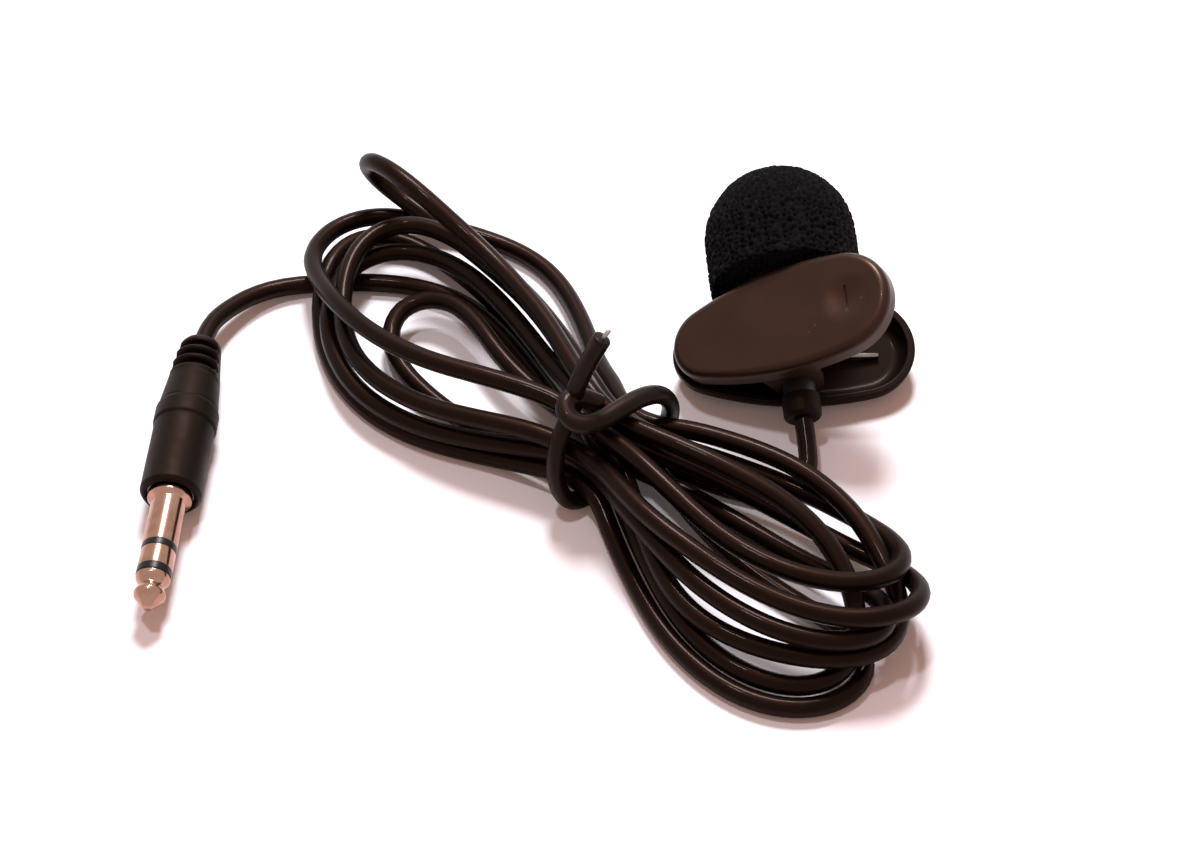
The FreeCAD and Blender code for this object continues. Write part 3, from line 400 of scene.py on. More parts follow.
def closed_tube(name, line, across, up, sides):
    """A tube with a flat, slightly rounded cut at each end: the last rings draw in to a middle point."""
    rings = carry(line, across, up, sides)
    ends = []
    for end, inside in ((0, 1), (-1, -2)):
        out = line[end] - line[inside]
        out = out / np.linalg.norm(out)
        rim = [line[end] + (rings[end] - line[end]) * share + out * past for share, past in cut_rim]
        ends.append((rim, line[end] + out * cut_rim[-1][1]))
    grid = np.array(ends[0][0][::-1] + list(rings) + ends[1][0])
    points = np.vstack([grid.reshape(-1, 3), ends[0][1], ends[1][1]])
    return put_mesh(name, points, capped_faces(len(grid), sides))


coat_across, coat_up = 1.06, 0.90
bare_radius = 0.24
bare_from, bare_to = -1.2, 0.9  # mm along the last bit of the tie, from its coat's cut
bare_bend = np.array([0.25, 0.1, 0.0])
tie_line = read_along(spline_line(from_hank(tie_points), 30), 0.35)
tie = closed_tube("tie_coat", tie_line, coat_across, coat_up, sides=24)
bare_way = tie_line[-1] - tie_line[-4]
bare_way /= np.linalg.norm(bare_way)
bare_line = tie_line[-1] + bare_way * np.linspace(bare_from, bare_to, 12)[:, None]
bare_line += bare_bend * np.linspace(0.0, 1.0, 12)[:, None] ** 2
bare_wire = closed_tube("tie_bare_end", bare_line, bare_radius, bare_radius, sides=14)
print("tie length in mm:", round(float(np.linalg.norm(np.diff(tie_line, axis=0), axis=1).sum()), 1))

# %% [markdown]
# ## The foam windscreen
#
# Open-cell polyurethane, ground to a cylinder with a round end: a mass of tiny rings, each round a pore of
# about 0.6 mm. A smooth shape with a bump pattern would keep a smooth outline, so the pores are real here.
# The profile is turned round the head's axis, then each point goes in by the depth of the pore that it lies
# in. Pores come from cellular noise: one seed point in each small cube, moved off its middle. A pore's walls
# are where the two nearest seeds are equally far.

# %% The foam's profile
head_tilt = 0.27963
head_y = -3.895804
head_z = 1.121765
stem_x = -0.3
stem_height = 5.0
foam_radius = 8.1
foam_back = 6.4734
dome_middle = 12.0734
hole_radius = 4.5
hole_end = 13.948
edge_round = 0.5
lip_round = 0.3


def laid(points):
    """Row places of points in the head's own frame: turned back by its tilt, then moved to where it rests."""
    c, s = math.cos(head_tilt), math.sin(head_tilt)
    p = np.asarray(points, float)
    return np.stack([p[..., 0], p[..., 1] * c - p[..., 2] * s + head_y,
                     p[..., 1] * s + p[..., 2] * c + head_z], axis=-1)


def profile_along(corners, spacing):
    """A profile's corner points with even steps between them."""
    parts = []
    for a, b in zip(corners[:-1], corners[1:]):
        n = max(1, int(round(math.dist(a, b) / spacing)))
        parts.append(np.linspace(a, b, n, endpoint=False))
    return np.vstack(parts + [[corners[-1]]])


dome_angles = np.linspace(0.0, np.pi / 2.0, 60)
dome = [(dome_middle + foam_radius * math.cos(a), foam_radius * math.sin(a)) for a in dome_angles[1:]]
edge = [(foam_back + edge_round - edge_round * math.sin(a),
         foam_radius - edge_round + edge_round * math.cos(a)) for a in np.linspace(0.0, np.pi / 2.0, 6)]
lip = [(foam_back + lip_round - lip_round * math.cos(a), hole_radius + lip_round - lip_round * math.sin(a))
       for a in np.linspace(0.0, np.pi / 2.0, 4)]
foam_profile = profile_along(dome + edge + lip + [(hole_end, hole_radius), (hole_end, 0.6)], 0.19)
print("points along the foam's profile:", len(foam_profile))


# %% Cellular noise for the pores
def cell_distances(points, cell, seed):
    """Distances, in cells, to the two nearest seeds. Each cube of the grid has one seed, put at a place in
    it that a hash of the cube's numbers gives; the 27 cubes round a point are looked at."""
    p = points / cell
    base = np.floor(p).astype(np.int64)
    first = np.full(len(p), 9.0)
    second = np.full(len(p), 9.0)
    for step in np.ndindex(3, 3, 3):
        cube = base + np.array(step) - 1
        mixed = (cube[:, 0] * 73856093) ^ (cube[:, 1] * 19349663) ^ (cube[:, 2] * 83492791) ^ seed
        place = np.column_stack([((mixed * k) >> 8 & 1023) / 1023.0
                                 for k in (2654435761, 40503, 2246822519)])
        d = np.linalg.norm(cube + 0.15 + 0.7 * place - p, axis=1)
        second = np.minimum(second, np.maximum(first, d))
        first = np.minimum(first, d)
    return first, second


def smooth_step(x, low, high):
    """t^2 (3 - 2 t) for t = (x - low) / (high - low), from 0 below low to 1 above high."""
    t = np.clip((x - low) / (high - low), 0.0, 1.0)
    return t * t * (3.0 - 2.0 * t)


# %% The foam
foam_sides = 264
pore_size, pore_depth = 0.62, 0.42
wall_limits = (0.02, 0.34)  # cells between the nearest two seeds, where a wall starts to fall and ends
bore_pore_depth = 0.05  # the head presses the hole's wall nearly smooth
lump_size, lump_height = 2.6, 0.10  # slow unevenness from grinding
angles = np.arange(foam_sides) * 2.0 * np.pi / foam_sides
along_axis = foam_profile[:, 0][:, None]
from_axis = foam_profile[:, 1][:, None]
foam_local = np.stack([stem_x + from_axis * np.sin(angles), along_axis + 0.0 * angles,
                       stem_height + from_axis * np.cos(angles)], axis=-1)
slope = np.gradient(foam_profile, axis=0)
slope /= np.linalg.norm(slope, axis=1)[:, None]
out_along = -slope[:, 1][:, None]
out_from = slope[:, 0][:, None]
outward = -np.stack([out_from * np.sin(angles), out_along + 0.0 * angles, out_from * np.cos(angles)], axis=-1)
flat = foam_local.reshape(-1, 3)
near_seed, next_seed = cell_distances(flat, pore_size, 7)
wall = 1.0 - smooth_step(next_seed - near_seed, *wall_limits)
near_lump, next_lump = cell_distances(flat, lump_size, 19)
unevenness = lump_height * (next_lump - near_lump) - lump_height / 2.0
in_bore = np.repeat((foam_profile[:, 1] < hole_radius + 0.4) & (foam_profile[:, 0] < hole_end + 0.1),
                    foam_sides)
depth = (np.where(in_bore, bore_pore_depth, pore_depth) * (1.0 - wall)
         + np.where(in_bore, 0.0, unevenness))
foam_points = flat - outward.reshape(-1, 3) * depth[:, None]
poles = np.array([[stem_x, dome_middle + foam_radius - 0.2, stem_height], [stem_x, hole_end, stem_height]])
foam = put_mesh("windscreen_foam", laid(np.vstack([foam_points, poles])),
                capped_faces(len(foam_profile), foam_sides))
pore = foam.data.attributes.new("pore_wall", "FLOAT", "POINT")
pore.data.foreach_set("value", np.append(wall, [0.5, 0.5]).astype(np.float32))
print("foam faces:", len(foam.data.polygons))

# %% [markdown]
# ## The thumb dimple
#
# The solid's dimple is cut with a ball, which leaves a hard rim. The moulded one runs out softly, so a thin
# skin lies over it. Its top is a bowl with a cosine profile and a slit across it, drawn level in the
# lever's own frame and then turned with the lever.

# %% The thumb dimple
lever_angle = math.radians(29.5)
lever_top = 11.15
dimple_x = 8.2
dimple_reach = 3.1
dimple_depth = 0.44
skin_lift, rim_dip = 0.012, 0.002  # the rim dips under the lever's own surface
skin_thickness = 0.03
slit_depth = 0.22
slit_sides, slit_ends = (0.06, 0.14), (1.4, 1.55)  # where its floor ends and where the top starts
skin_sides = 240


def on_lever(points):
    """Places of points drawn level in the head's frame, turned with the lever about the stem."""
    c, s = math.cos(lever_angle), math.sin(lever_angle)
    p = np.asarray(points, float)
    x, z = p[..., 0] - stem_x, p[..., 2] - stem_height
    return np.stack([stem_x + x * c - z * s, p[..., 1], stem_height + x * s + z * c], axis=-1)


def dimple_height(x, y):
    """Height over the lever's top: lift (1 - r^8) - dip - depth (1 + cos(pi r)) / 2, where r is the distance
    from the middle over the dimple's reach, less the slit."""
    r = np.minimum(np.hypot(x, y) / dimple_reach, 1.0)
    slit = (1.0 - smooth_step(np.abs(x), *slit_sides)) * (1.0 - smooth_step(np.abs(y), *slit_ends))
    bowl = dimple_depth * (1.0 + np.cos(np.pi * r)) / 2.0
    return skin_lift * (1.0 - r ** 8) - rim_dip - bowl - slit_depth * slit


skin_radii = np.linspace(0.03, dimple_reach, 100)
skin_angles = np.arange(skin_sides) * 2.0 * np.pi / skin_sides
skin_x = skin_radii[:, None] * np.cos(skin_angles)
skin_y = skin_radii[:, None] * np.sin(skin_angles)
skin_top = np.stack([dimple_x + skin_x, skin_y, lever_top + dimple_height(skin_x, skin_y)], axis=-1)
skin_under = skin_top[::-1] - (0.0, 0.0, skin_thickness)
top_pole = np.array([dimple_x, 0.0, lever_top + dimple_height(0.0, 0.0)])
skin_points = np.vstack([skin_top.reshape(-1, 3), skin_under.reshape(-1, 3),
                         top_pole, top_pole - (0.0, 0.0, skin_thickness)])
skin_faces = [face[::-1] for face in capped_faces(2 * len(skin_radii), skin_sides)]
dimple = put_mesh("thumb_dimple", laid(on_lever(skin_points)), skin_faces)
print("dimple faces:", len(dimple.data.polygons))

# %% [markdown]
# ## The spring
#
# A torsion spring of 0.65 mm steel wire sits on the stem. Its coil is wound round the hinge's own axis, so
# it is one line: a straight leg, a helix, a second straight leg. The lower leg lies on the dish and the
# upper one under the lever.

# %% The spring
coil_radius = 2.225
coil_pitch = 1.2
near_end = -0.56
upper_leg = 9.3
lower_leg = 9.6
first_angle = math.radians(136.15)
last_angle = math.radians(982.59)
wire_radius = 0.325
leg_points = 30
leg_start = 0.25  # mm from the coil, so that no two points of the line meet

coil_angles = np.linspace(first_angle, last_angle, 76)
coil_along = near_end + coil_pitch * (last_angle - coil_angles) / (2.0 * np.pi)
coil = np.column_stack([stem_x + coil_radius * np.cos(coil_angles), coil_along,
                        stem_height + coil_radius * np.sin(coil_angles)])
away = np.array([math.sin(first_angle), 0.0, -math.cos(first_angle)])
onward = np.array([-math.sin(last_angle), 0.0, math.cos(last_angle)])
upper = coil[0] + away * np.linspace(upper_leg, leg_start, leg_points)[:, None]
lower = coil[-1] + onward * np.linspace(leg_start, lower_leg, leg_points)[:, None]
spring_line = laid(np.vstack([upper, coil, lower]))
spring = closed_tube("spring_wire", spring_line, wire_radius, wire_radius, sides=16)
print("spring turns:", round((last_angle - first_angle) / (2.0 * math.pi), 2))

# %% [markdown]
# ## The plug
#
# The sleeve, ring and tip are turned on a lathe, so each is one profile carried round the plug's axis. The
# solids have knife edges; real turned edges are broken by a few hundredths of a millimetre, and that thin
# bright line is what makes metal look turned.

# %% Turned pieces
plug_start = np.array([-62.6, 1.9, 3.3])
plug_heading = 262.1
heading = math.radians(plug_heading)
plug_axis = np.array([math.cos(heading), math.sin(heading), 0.0])
plug_side = np.array([-math.sin(heading), math.cos(heading), 0.0])


def on_plug(radius, along, angle):
    """Row places: the plug's start + along times its axis + radius times (cos a side + sin a up)."""
    radius, along, angle = np.broadcast_arrays(radius, along, angle)
    sideways = (radius * np.cos(angle))[..., None] * plug_side
    upwards = (radius * np.sin(angle))[..., None] * np.array([0.0, 0.0, 1.0])
    return plug_start + along[..., None] * plug_axis + sideways + upwards


def broken_edges(corners, size, closed):
    """Corner points of a profile with each corner c replaced by a short curve from a to b, size before and
    after it: (1 - t)^2 a + 2 t (1 - t) c + t^2 b."""
    c = np.asarray(corners, float)
    ends = []
    for way in (np.roll(c, 1, axis=0) - c, np.roll(c, -1, axis=0) - c):
        run = np.linalg.norm(way, axis=1)
        ends.append(c + way * (np.minimum(size, 0.4 * run) / run)[:, None])
    a, b = ends
    t = np.linspace(0.0, 1.0, 5)[None, :, None]
    curve = (1 - t) ** 2 * a[:, None] + 2 * t * (1 - t) * c[:, None] + t ** 2 * b[:, None]
    if closed:
        return curve.reshape(-1, 2)
    return np.vstack([c[:1], curve[1:-1].reshape(-1, 2), c[-1:]])


def turned_piece(name, corners, edge=0.05, closed=True, sides=96):
    """A profile of (radius, along) corners carried round the plug's axis. A closed profile makes a tube;
    an open one starts and ends on the axis and is closed there by a pole."""
    profile = broken_edges(corners, edge, closed)
    body = profile if closed else profile[1:-1]
    angle = np.arange(sides) * 2.0 * np.pi / sides
    points = on_plug(body[:, 0][:, None], body[:, 1][:, None], angle[None, :]).reshape(-1, 3)
    if closed:
        return put_mesh(name, points, grid_faces(len(body), sides, wrap_rows=True))
    poles = on_plug(np.zeros(2), profile[[0, -1], 1], np.zeros(2))
    return put_mesh(name, np.vstack([points, poles]), capped_faces(len(body), sides))


contact = 1.75
black = 1.77  # the two black rings stand a little proud
sleeve = turned_piece("contact_sleeve", [
    (1.3, 12.9), (1.95, 12.9), (1.95, 20.02), (2.25, 20.02), (2.25, 21.0), (contact, 21.4),
    (contact, 26.95), (1.3, 26.95)])
ring = turned_piece("contact_ring", [
    (0.8, 11.3), (1.1, 11.3), (1.1, 27.72), (contact, 27.72), (contact, 29.88), (0.8, 29.88)])
tip = turned_piece("contact_tip", [
    (0.0, 9.7), (0.5, 9.7), (0.5, 30.72), (contact, 30.72), (1.70, 31.1), (1.22, 31.9), (1.62, 32.8),
    (1.5, 33.2), (0.4, 34.5), (0.0, 34.5)], edge=0.14, closed=False)
rear_gap = turned_piece("contact_insulator_rear", [
    (1.12, 26.97), (black, 26.97), (black, 27.70), (1.12, 27.70)])
front_gap = turned_piece("contact_insulator_front", [
    (0.52, 29.90), (black, 29.90), (black, 30.70), (0.52, 30.70)])
print("turned pieces:", [piece.name for piece in (sleeve, ring, tip, rear_gap, front_gap)])

# %% [markdown]
# The grip is soft PVC moulded over the plug: a smooth barrel, a raised band with a fine groove at each
# side, a taper, and a strain relief with three slots that let it bend. Slots depend on the angle round the
# axis as well as on the place along it, so the radius is one function of both.

# %% The moulded grip
grip_stations = np.array([0.0, 0.35, 5.2, 9.15, 9.45, 11.35, 11.65, 20.1, 20.5])
grip_radii = np.array([1.95, 2.15, 2.72, 3.13, 3.30, 3.30, 3.15, 3.15, 2.85])
slot_places, slot_depth = (1.35, 2.75, 4.15), 0.72
slot_sides = (0.24, 0.44)  # mm from its middle, where its floor ends and where it is over
slot_window = (0.30, 0.55)  # of the sine of the angle
swell_height, swell_at, swell_width = 0.10, 0.70, 0.25  # plastic squeezed up beside a slot
groove_places, groove_depth, groove_width = (9.15, 11.65), 0.10, 0.11
grip_sides = 120


def grip_radius(along, angle):
    """Outer radius at a place along the axis and an angle round it, 0 to the side and 90 degrees up. A slot
    is a smooth notch along the axis times a window round the top and the underside."""
    radius = np.interp(along, grip_stations, grip_radii)
    window = smooth_step(np.abs(np.sin(angle)), *slot_window)
    for place in slot_places:
        notch = 1.0 - smooth_step(np.abs(along - place), *slot_sides)
        swell = np.exp(-((np.abs(along - place) - swell_at) / swell_width) ** 2)
        radius = radius - slot_depth * notch * window + swell_height * swell * window
    for place in groove_places:
        radius = radius - groove_depth * np.exp(-((along - place) / groove_width) ** 2)
    return radius


grip_angle = (np.arange(grip_sides) * 2.0 * np.pi / grip_sides)[None, :]
outer_along = np.concatenate([np.arange(0.0, 5.4, 0.075), np.arange(5.4, 20.0, 0.16),
                              np.linspace(20.0, 20.5, 6)])[:, None]
outer = on_plug(grip_radius(outer_along, grip_angle), outer_along, grip_angle)
inner_profile = np.array([(2.50, 20.5), (2.42, 20.42), (2.42, 5.42), (1.04, 5.40), (1.02, 0.1), (1.12, 0.0)])
inner = on_plug(inner_profile[:, 0][:, None], inner_profile[:, 1][:, None], grip_angle)
grip_rings = np.concatenate([outer, inner])
grip = put_mesh("plug_grip", grip_rings.reshape(-1, 3),
                grid_faces(len(grip_rings), grip_sides, wrap_rows=True))
print("grip faces:", len(grip.data.polygons))

# %% [markdown]
# ## Materials
#
# Nearly everything is black, so what tells the pieces apart is how each surface was made: an extruded cord
# is smoother than a moulded shell, and foam hardly shines at all. Every pattern reads Object coordinates,
# which are metres here, so a texture's scale is one over its real size. The first function makes most
# surfaces: two close colours in soft patches, a gloss that varies a little, and a fine relief.

# %% A mottled surface
noise_range = {"From Min": 0.3, "From Max": 0.7}  # most values of a noise lie between these


def mottled(name, dark, light, patch, rough, grain, relief, streak=(1.0, 1.0, 1.0), **sockets):
    """Two colours in patches of patch mm, roughness from rough[0] to rough[1] in the same patches, and a
    relief with grains of grain mm that is relief mm high. Streak stretches the grain along an axis."""
    material, tree = start_material(name)
    place = node(tree, "TexCoord").outputs["Object"]
    patches = node(tree, "TexNoise", {"Vector": place, "Scale": 1.0 / (patch * MM), "Detail": 3.0})
    colour = node(tree, "Mix", {"Factor": patches, 6: linear(dark), 7: linear(light)}, data_type="RGBA")
    gloss = node(tree, "MapRange", {"Value": patches, **noise_range, "To Min": rough[0], "To Max": rough[1]})
    stretched = node(tree, "Mapping", {"Vector": place, "Scale": streak})
    grains = node(tree, "TexNoise", {"Vector": stretched, "Scale": 1.0 / (grain * MM), "Detail": 2.0})
    bump = node(tree, "Bump", {"Height": grains, "Distance": relief * MM})
    shader = node(tree, "BsdfPrincipled", {
        "Base Color": colour.outputs[2], "Roughness": gloss, "Normal": bump, **sockets})
    node(tree, "OutputMaterial", {"Surface": shader})
    return material


def dress(material, *names):
    """Gives CAD nodes a material through their own slots."""
    for name in names:
        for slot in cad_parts[name].material_slots:
            slot.material = material


# %% [markdown]
# The cord's jacket is plasticised PVC, drawn through a round die and cooled in water. That leaves a skin
# with a soft gloss, hardly any grain and slow changes of shine from handling. The moulded pieces at its two
# ends are the same plastic, but their mould was spark-eroded, so they are more matt. The photograph's light
# is warm, so what these blacks reflect is tinted towards orange.

# %% PVC: the cord, its moulded ends and the tie's coat
# Specular Tint in these PVC and ABS finishes is a painted warm reflection, standing in for warm light.
painted_warm_reflection = {"Specular Tint": linear("#f0ab88")}
extruded_pvc = mottled(
    "extruded_pvc", "#080504", "#120a06", patch=4.0, rough=(0.36, 0.48), grain=0.35, relief=0.004,
    **{"Specular Tint": linear("#e88a5c"), "Specular IOR Level": 0.11, "Coat Weight": 0.05,
       "Coat Roughness": 0.05})
moulded_pvc = mottled(
    "spark_moulded_pvc", "#080706", "#110e0c", patch=2.5, rough=(0.46, 0.60), grain=0.12, relief=0.008,
    **painted_warm_reflection, **{"Specular IOR Level": 0.12})
tie_pvc = mottled(
    "tie_pvc", "#080605", "#120c09", patch=1.5, rough=(0.36, 0.50), grain=0.25, relief=0.010, **painted_warm_reflection,
    **{"Specular IOR Level": 0.14, "Coat Weight": 0.06, "Coat Roughness": 0.07})
dress(extruded_pvc, "cord_inner", "plug_cord_inner")
dress(moulded_pvc, "cord_gland")
print("PVC materials:", extruded_pvc.name, moulded_pvc.name, tie_pvc.name)

# %% [markdown]
# The clip is ABS. The lever came out of a satin mould and handling has polished it unevenly, with a little
# dust on it: specks of a tenth of a millimetre, here drawn two to three times as large so that they show.
# The lever's lighter, browner colours are partly a painted warm sheen on its lit top. The dish's half of the
# mould was spark-eroded, so it is rougher; its darker colours are painted shade, where the lever shades the
# dish.

# %% ABS: the clip
satin_abs = mottled(
    "satin_abs", "#170e09", "#24160f", patch=6.0, rough=(0.33, 0.45), grain=0.10, relief=0.004,
    **painted_warm_reflection, **{"Specular IOR Level": 0.32, "Coat Weight": 0.05, "Coat Roughness": 0.09})
tree = satin_abs.node_tree
shader = tree.nodes["Principled BSDF"]
place = node(tree, "TexCoord").outputs["Object"]
dust = node(tree, "TexVoronoi", {"Vector": place, "Scale": 1.0 / (2.4 * MM)})
speck = node(tree, "MapRange", {
    "Value": dust, "From Min": 0.045, "From Max": 0.06, "To Min": 0.35, "To Max": 0.0})
painted = shader.inputs["Base Color"].links[0].from_socket
dusty = node(tree, "Mix", {"Factor": speck, 6: painted, 7: linear("#6f665e")}, data_type="RGBA")
tree.links.new(dusty.outputs[2], shader.inputs["Base Color"])
dress(satin_abs, "clip_lever")

# Darker colours and lower specular than the lever's: painted shade under the lever.
textured_abs_painted_shade = mottled(
    "textured_abs_painted_shade", "#080605", "#0f0b09", patch=4.0, rough=(0.42, 0.56), grain=0.14, relief=0.010,
    **painted_warm_reflection, **{"Specular IOR Level": 0.10, "Coat Weight": 0.03, "Coat Roughness": 0.12})
dress(textured_abs_painted_shade, "clip_base")

moulded_nylon = mottled(
    "moulded_nylon", "#11100f", "#1b1917", patch=3.0, rough=(0.40, 0.52), grain=0.15, relief=0.006,
    **{"Specular IOR Level": 0.34})
dress(moulded_nylon, "head_housing")
print("clip materials:", satin_abs.name, textured_abs_painted_shade.name)

# %% [markdown]
# The contacts are turned brass with a bright nickel plate. Nickel is a slightly yellow white metal; here the
# warm room of the photograph is mixed into its colours. The tool leaves fine rings round each contact. They
# follow one coordinate only, the place along the plug, which a Mapping node gets by turning the object's
# coordinates by the plug's heading.

# %% Nickel, brass and steel
def turned_metal(name, dark, light, rough, ring, relief, heading):
    """A lathe-turned metal: rings ring mm apart and relief mm high round an axis that lies flat and points
    along heading, in degrees, and slow stains of a darker colour."""
    material, tree = start_material(name)
    place = node(tree, "TexCoord").outputs["Object"]
    turned = node(tree, "Mapping", {"Vector": place, "Rotation": (0.0, 0.0, -math.radians(heading))})
    along = node(tree, "SeparateXYZ", {"Vector": turned})
    rings = node(tree, "TexNoise", {
        "W": along.outputs["X"], "Scale": 1.0 / (ring * MM), "Detail": 3.0}, noise_dimensions="1D")
    stains = node(tree, "TexNoise", {"Vector": place, "Scale": 1.0 / (1.6 * MM), "Detail": 4.0})
    colour = node(tree, "Mix", {"Factor": stains, 6: linear(light), 7: linear(dark)}, data_type="RGBA")
    both = node(tree, "Math", {0: stains, 1: rings}, operation="ADD")
    gloss = node(tree, "MapRange", {
        "Value": both, "From Min": 0.7, "From Max": 1.3, "To Min": rough[0], "To Max": rough[1]})
    bump = node(tree, "Bump", {"Height": rings, "Distance": relief * MM})
    shader = node(tree, "BsdfPrincipled", {
        "Base Color": colour.outputs[2], "Roughness": gloss, "Normal": bump, "Metallic": 1.0})
    node(tree, "OutputMaterial", {"Surface": shader})
    return material


# The pinkish tone of these colours is a painted reflection of a warm room, over the nickel's own colour.
nickel = turned_metal("nickel_plated_brass", "#7a5546", "#c0947f", (0.13, 0.24), 0.10, 0.0010, plug_heading)
brass = turned_metal("turned_brass", "#a07c3c", "#c9a65a", (0.25, 0.38), 0.08, 0.0015, 90.0)
spring_steel = mottled(
    "drawn_spring_steel", "#5c544f", "#9a8f88", patch=1.0, rough=(0.20, 0.34), grain=0.08, relief=0.001,
    Metallic=1.0)
tie_steel = mottled(
    "cut_steel_wire", "#8a7f78", "#b9aca4", patch=0.6, rough=(0.30, 0.45), grain=0.08, relief=0.002,
    Metallic=1.0)
dress(nickel, "plug_crimp")
dress(brass, "back_plate", "diaphragm_ring", "gate_ring")
print("metals:", nickel.name, brass.name, spring_steel.name, tie_steel.name)

# %% [markdown]
# The pieces inside the head and the plug are hidden, yet each has the finish of the real one.
# A row gives what mottled() asks for, then other sockets, then the solids.

# %% Inside pieces
inside_rows = (
    ("moulded_acetal", "#0b0a0a", "#141211", 1.0, (0.28, 0.38), 0.1, 0.002, {"Specular IOR Level": 0.2},
     "plug_liner_inner", "plug_liner_outer"),
    ("natural_nylon", "#d2cdbf", "#e2ddd0", 1.5, (0.38, 0.5), 0.1, 0.004,
     {"Subsurface Weight": 0.1, "Subsurface Scale": 0.0004}, "insulator_ring", "plug_core"),
    ("baked_paint", "#121212", "#1c1b1b", 0.8, (0.5, 0.62), 0.08, 0.006, {}, "head_grille"),
    ("pressed_felt", "#151414", "#2a2828", 0.4, (0.9, 1.0), 0.05, 0.05,
     {"streak": (1.0, 0.25, 1.0), "Sheen Weight": 0.4}, "dust_felt"),
    ("silicone_rubber", "#171717", "#222121", 2.0, (0.55, 0.68), 0.1, 0.003, {}, "capsule_sleeve"),
    ("metallised_film", "#a9a698", "#c2bfb2", 1.2, (0.08, 0.16), 0.5, 0.002, {"Metallic": 1.0}, "diaphragm"),
    ("polyester_film", "#a98442", "#bd9a58", 1.0, (0.2, 0.3), 0.2, 0.001, {}, "diaphragm_spacer"),
    ("glass_laminate", "#12492a", "#1d6138", 0.3, (0.32, 0.42), 0.08, 0.003, {"streak": (1.0, 1.0, 0.3)},
     "capsule_board"),
    ("moulded_epoxy", "#161616", "#232221", 0.3, (0.45, 0.58), 0.04, 0.003, {}, "capsule_fet"),
    ("red_lead_pvc", "#8e1613", "#a62420", 0.8, (0.3, 0.4), 0.1, 0.002, {},
     "plug_signal_wire", "wire_signal"),
    ("drawn_aluminium", "#b9bbbd", "#d2d4d6", 1.5, (0.25, 0.36), 0.06, 0.001,
     {"streak": (1.0, 0.1, 1.0), "Metallic": 1.0}, "capsule_can", "cord_clamp"),
    ("copper_strands", "#9c5a35", "#c98055", 0.5, (0.28, 0.42), 0.06, 0.004, {"Metallic": 1.0},
     "plug_bridge_wire", "plug_shield_wire", "wire_shield"),
)
inside = {}
for name, dark, light, patch, rough, grain, relief, others, *solids in inside_rows:
    inside[name] = mottled(name, dark, light, patch, rough, grain, relief, **others)
    dress(inside[name], *solids)
acetal = inside["moulded_acetal"]
print("inside finishes:", len(inside))

# %% [markdown]
# Foam of this kind is dyed black all through. Light that enters a pore hardly comes out again, so the pores
# are painted darker than the rings between them, as painted shade; the shader reads the same wall attribute
# that shaped them. Here and there the cut face of a ring is flat enough to flash.

# %% Foam
foam_material, tree = start_material("open_cell_foam")
walls = node(tree, "Attribute", attribute_name="pore_wall")
# Pores take the darker colour: painted shade in the hollows.
colour = node(tree, "Mix", {"Factor": walls.outputs["Fac"], 6: linear("#030202"), 7: linear("#0e0b0b")},
              data_type="RGBA")
place = node(tree, "TexCoord").outputs["Object"]
cuts = node(tree, "TexVoronoi", {"Vector": place, "Scale": 1.0 / (0.9 * MM)})
flash = node(tree, "MapRange", {
    "Value": cuts, "From Min": 0.06, "From Max": 0.14, "To Min": 0.30, "To Max": 0.95})
fibre = node(tree, "TexNoise", {"Vector": place, "Scale": 1.0 / (0.18 * MM), "Detail": 3.0})
bump = node(tree, "Bump", {"Height": fibre, "Distance": 0.06 * MM})
shader = node(tree, "BsdfPrincipled", {
    "Base Color": colour.outputs[2], "Roughness": flash, "Normal": bump, "Sheen Weight": 0.015,
    "Specular IOR Level": 0.08})
node(tree, "OutputMaterial", {"Surface": shader})
print("foam material:", foam_material.name)

# %% [markdown]
# ## What moves with what
#
# Each new piece takes its material, stands for the solid that it replaces, and rides on that solid's body.
# The spring crosses the hinge, so it rides on no body and keeps the place it was drawn in.

# %% Bodies, materials and replaced solids
for piece, material, body, slot_name, nodes in (
        (cord, extruded_pvc, "microphone", "cord_jacket", ("cord_head_end", "cord_hank", "cord_plug_end")),
        (tie, tie_pvc, "microphone", "tie_plastic", ("tie_coating",)),
        (bare_wire, tie_steel, "microphone", "tie_steel", ("tie_wire",)),
        (dimple, satin_abs, "lever", "clip_plastic", ()),
        (foam, foam_material, "windscreen", "windscreen_foam", ("foam_windscreen",)),
        (grip, moulded_pvc, "microphone", "moulded_jacket", ("plug_overmold",)),
        (sleeve, nickel, "microphone", "nickel_plate", ("plug_sleeve",)),
        (ring, nickel, "microphone", "nickel_plate", ("plug_ring",)),
        (tip, nickel, "microphone", "nickel_plate", ("plug_tip",)),
        (rear_gap, acetal, "microphone", "plug_insulator", ("plug_insulator_rear",)),
        (front_gap, acetal, "microphone", "plug_insulator", ("plug_insulator_front",)),
        (spring, spring_steel, None, "spring_steel", ("clip_spring",))):
    piece.data.materials.append(material)
    if nodes:
        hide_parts(*nodes)
    if body:
        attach(piece, body)

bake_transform(spring)
plug_pieces = [grip, sleeve, ring, tip, rear_gap, front_gap]
plug_pieces += [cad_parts[name] for name in (
    "plug_cord_inner", "plug_core", "plug_crimp", "plug_liner_outer", "plug_liner_inner",
    "plug_signal_wire", "plug_shield_wire", "plug_bridge_wire")]
print("pieces on the cord:", len(plug_pieces))

# %% [markdown]
# ## Floor and light
#
# A white table, lit from above and behind by a large soft lamp, with a small one for the sharp glints. Near
# the microphone the table is an ordinary matt surface, so that the shadow shows; from 11 cm outwards it
# turns into plain white for the camera, so that no horizon shows from the side. Mirror-like surfaces see
# white beyond it.

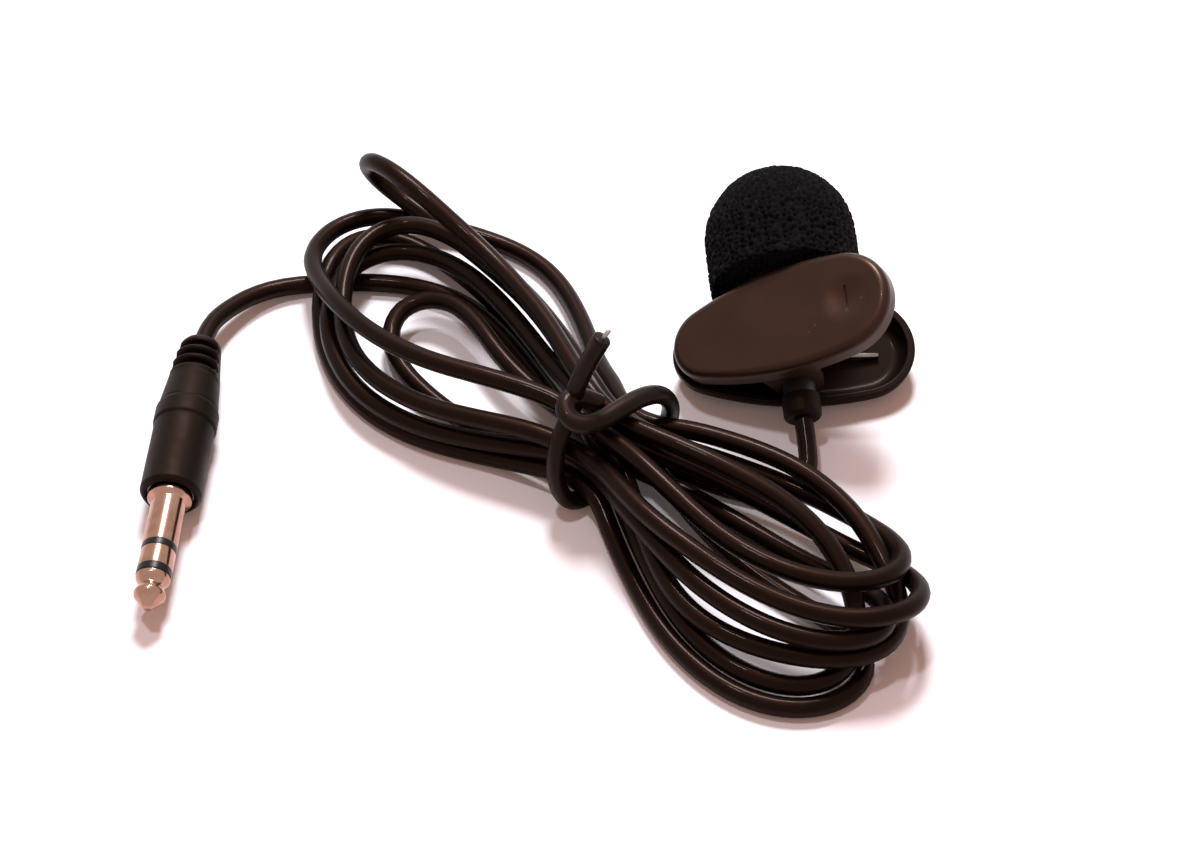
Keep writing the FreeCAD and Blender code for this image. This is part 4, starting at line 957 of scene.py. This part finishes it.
# %% Floor
floor_half = 900
white_from, white_all = 0.11, 0.24  # metres from the table's middle
near_share = 0.04
floor_corners = [(floor_half * x, floor_half * y, 0) for x, y in ((-1, -1), (1, -1), (1, 1), (-1, 1))]
floor = put_mesh("floor", floor_corners, [(0, 1, 2, 3)], smooth=False)
floor_material, tree = start_material("white_table")
seen_by = node(tree, "LightPath")
place = node(tree, "TexCoord").outputs["Object"]
paper = node(tree, "TexNoise", {"Vector": place, "Scale": 1.0 / (30.0 * MM), "Detail": 2.0})
paint = node(tree, "Mix", {"Factor": paper, 6: linear("#ffffff"), 7: linear("#fdfbfa")}, data_type="RGBA")
matt = node(tree, "BsdfDiffuse", {"Color": paint.outputs[2]})
white = node(tree, "Emission", {"Color": linear("#ffffff"), "Strength": 1.0})
from_middle = node(tree, "VectorMath", {0: place}, operation="LENGTH")
far_share = node(tree, "MapRange", {
    "Value": from_middle.outputs["Value"], "From Min": white_from, "From Max": white_all,
    "To Min": near_share, "To Max": 1.0}, interpolation_type="SMOOTHSTEP")
share = node(tree, "Math", {0: seen_by.outputs["Is Camera Ray"], 1: far_share}, operation="MULTIPLY")
both = node(tree, "MixShader", {0: share, 1: matt, 2: white})
node(tree, "OutputMaterial", {"Surface": both})
floor.data.materials.append(floor_material)
print("floor:", floor.name)


# %% Lamps and room
lamp_target = Vector((-0.02, -0.015, 0.0))


def soft_lamp(name, place, width, power, colour):
    """A square area lamp of width m at place, in metres, aimed at the hank."""
    data = bpy.data.lights.new(name, "AREA")
    data.size = width
    data.energy = power
    data.color = linear(colour)[:3]
    lamp = add_object(name, data)
    lamp.location = place
    lamp.rotation_euler = (lamp_target - Vector(place)).to_track_quat("-Z", "Y").to_euler()


soft_lamp("window", (0.01, 0.27, 0.42), 0.12, 3.5, "#f6f5ff")
soft_lamp("bulb", (-0.12, 0.04, 0.54), 0.04, 0.7, "#f4f4ff")
world = bpy.data.worlds.new("room")
bpy.context.scene.world = world
world.use_nodes = True
tree = world.node_tree
tree.nodes.clear()
seen_by = node(tree, "LightPath")
sharp = node(tree, "Math", {
    0: seen_by.outputs["Is Camera Ray"], 1: seen_by.outputs["Is Glossy Ray"]}, operation="MAXIMUM")
sharp = node(tree, "Math", {0: sharp, 1: seen_by.outputs["Is Transmission Ray"]}, operation="MAXIMUM")
fill = node(tree, "Background", {"Color": linear("#ffc3b0"), "Strength": 0.44})
white = node(tree, "Background", {"Color": linear("#ffffff"), "Strength": 1.0})
both = node(tree, "MixShader", {0: sharp, 1: fill, 2: white})
node(tree, "OutputWorld", {"Surface": both})
bpy.context.scene.view_settings.view_transform = "Standard"
print("lamps:", len(bpy.data.lights))
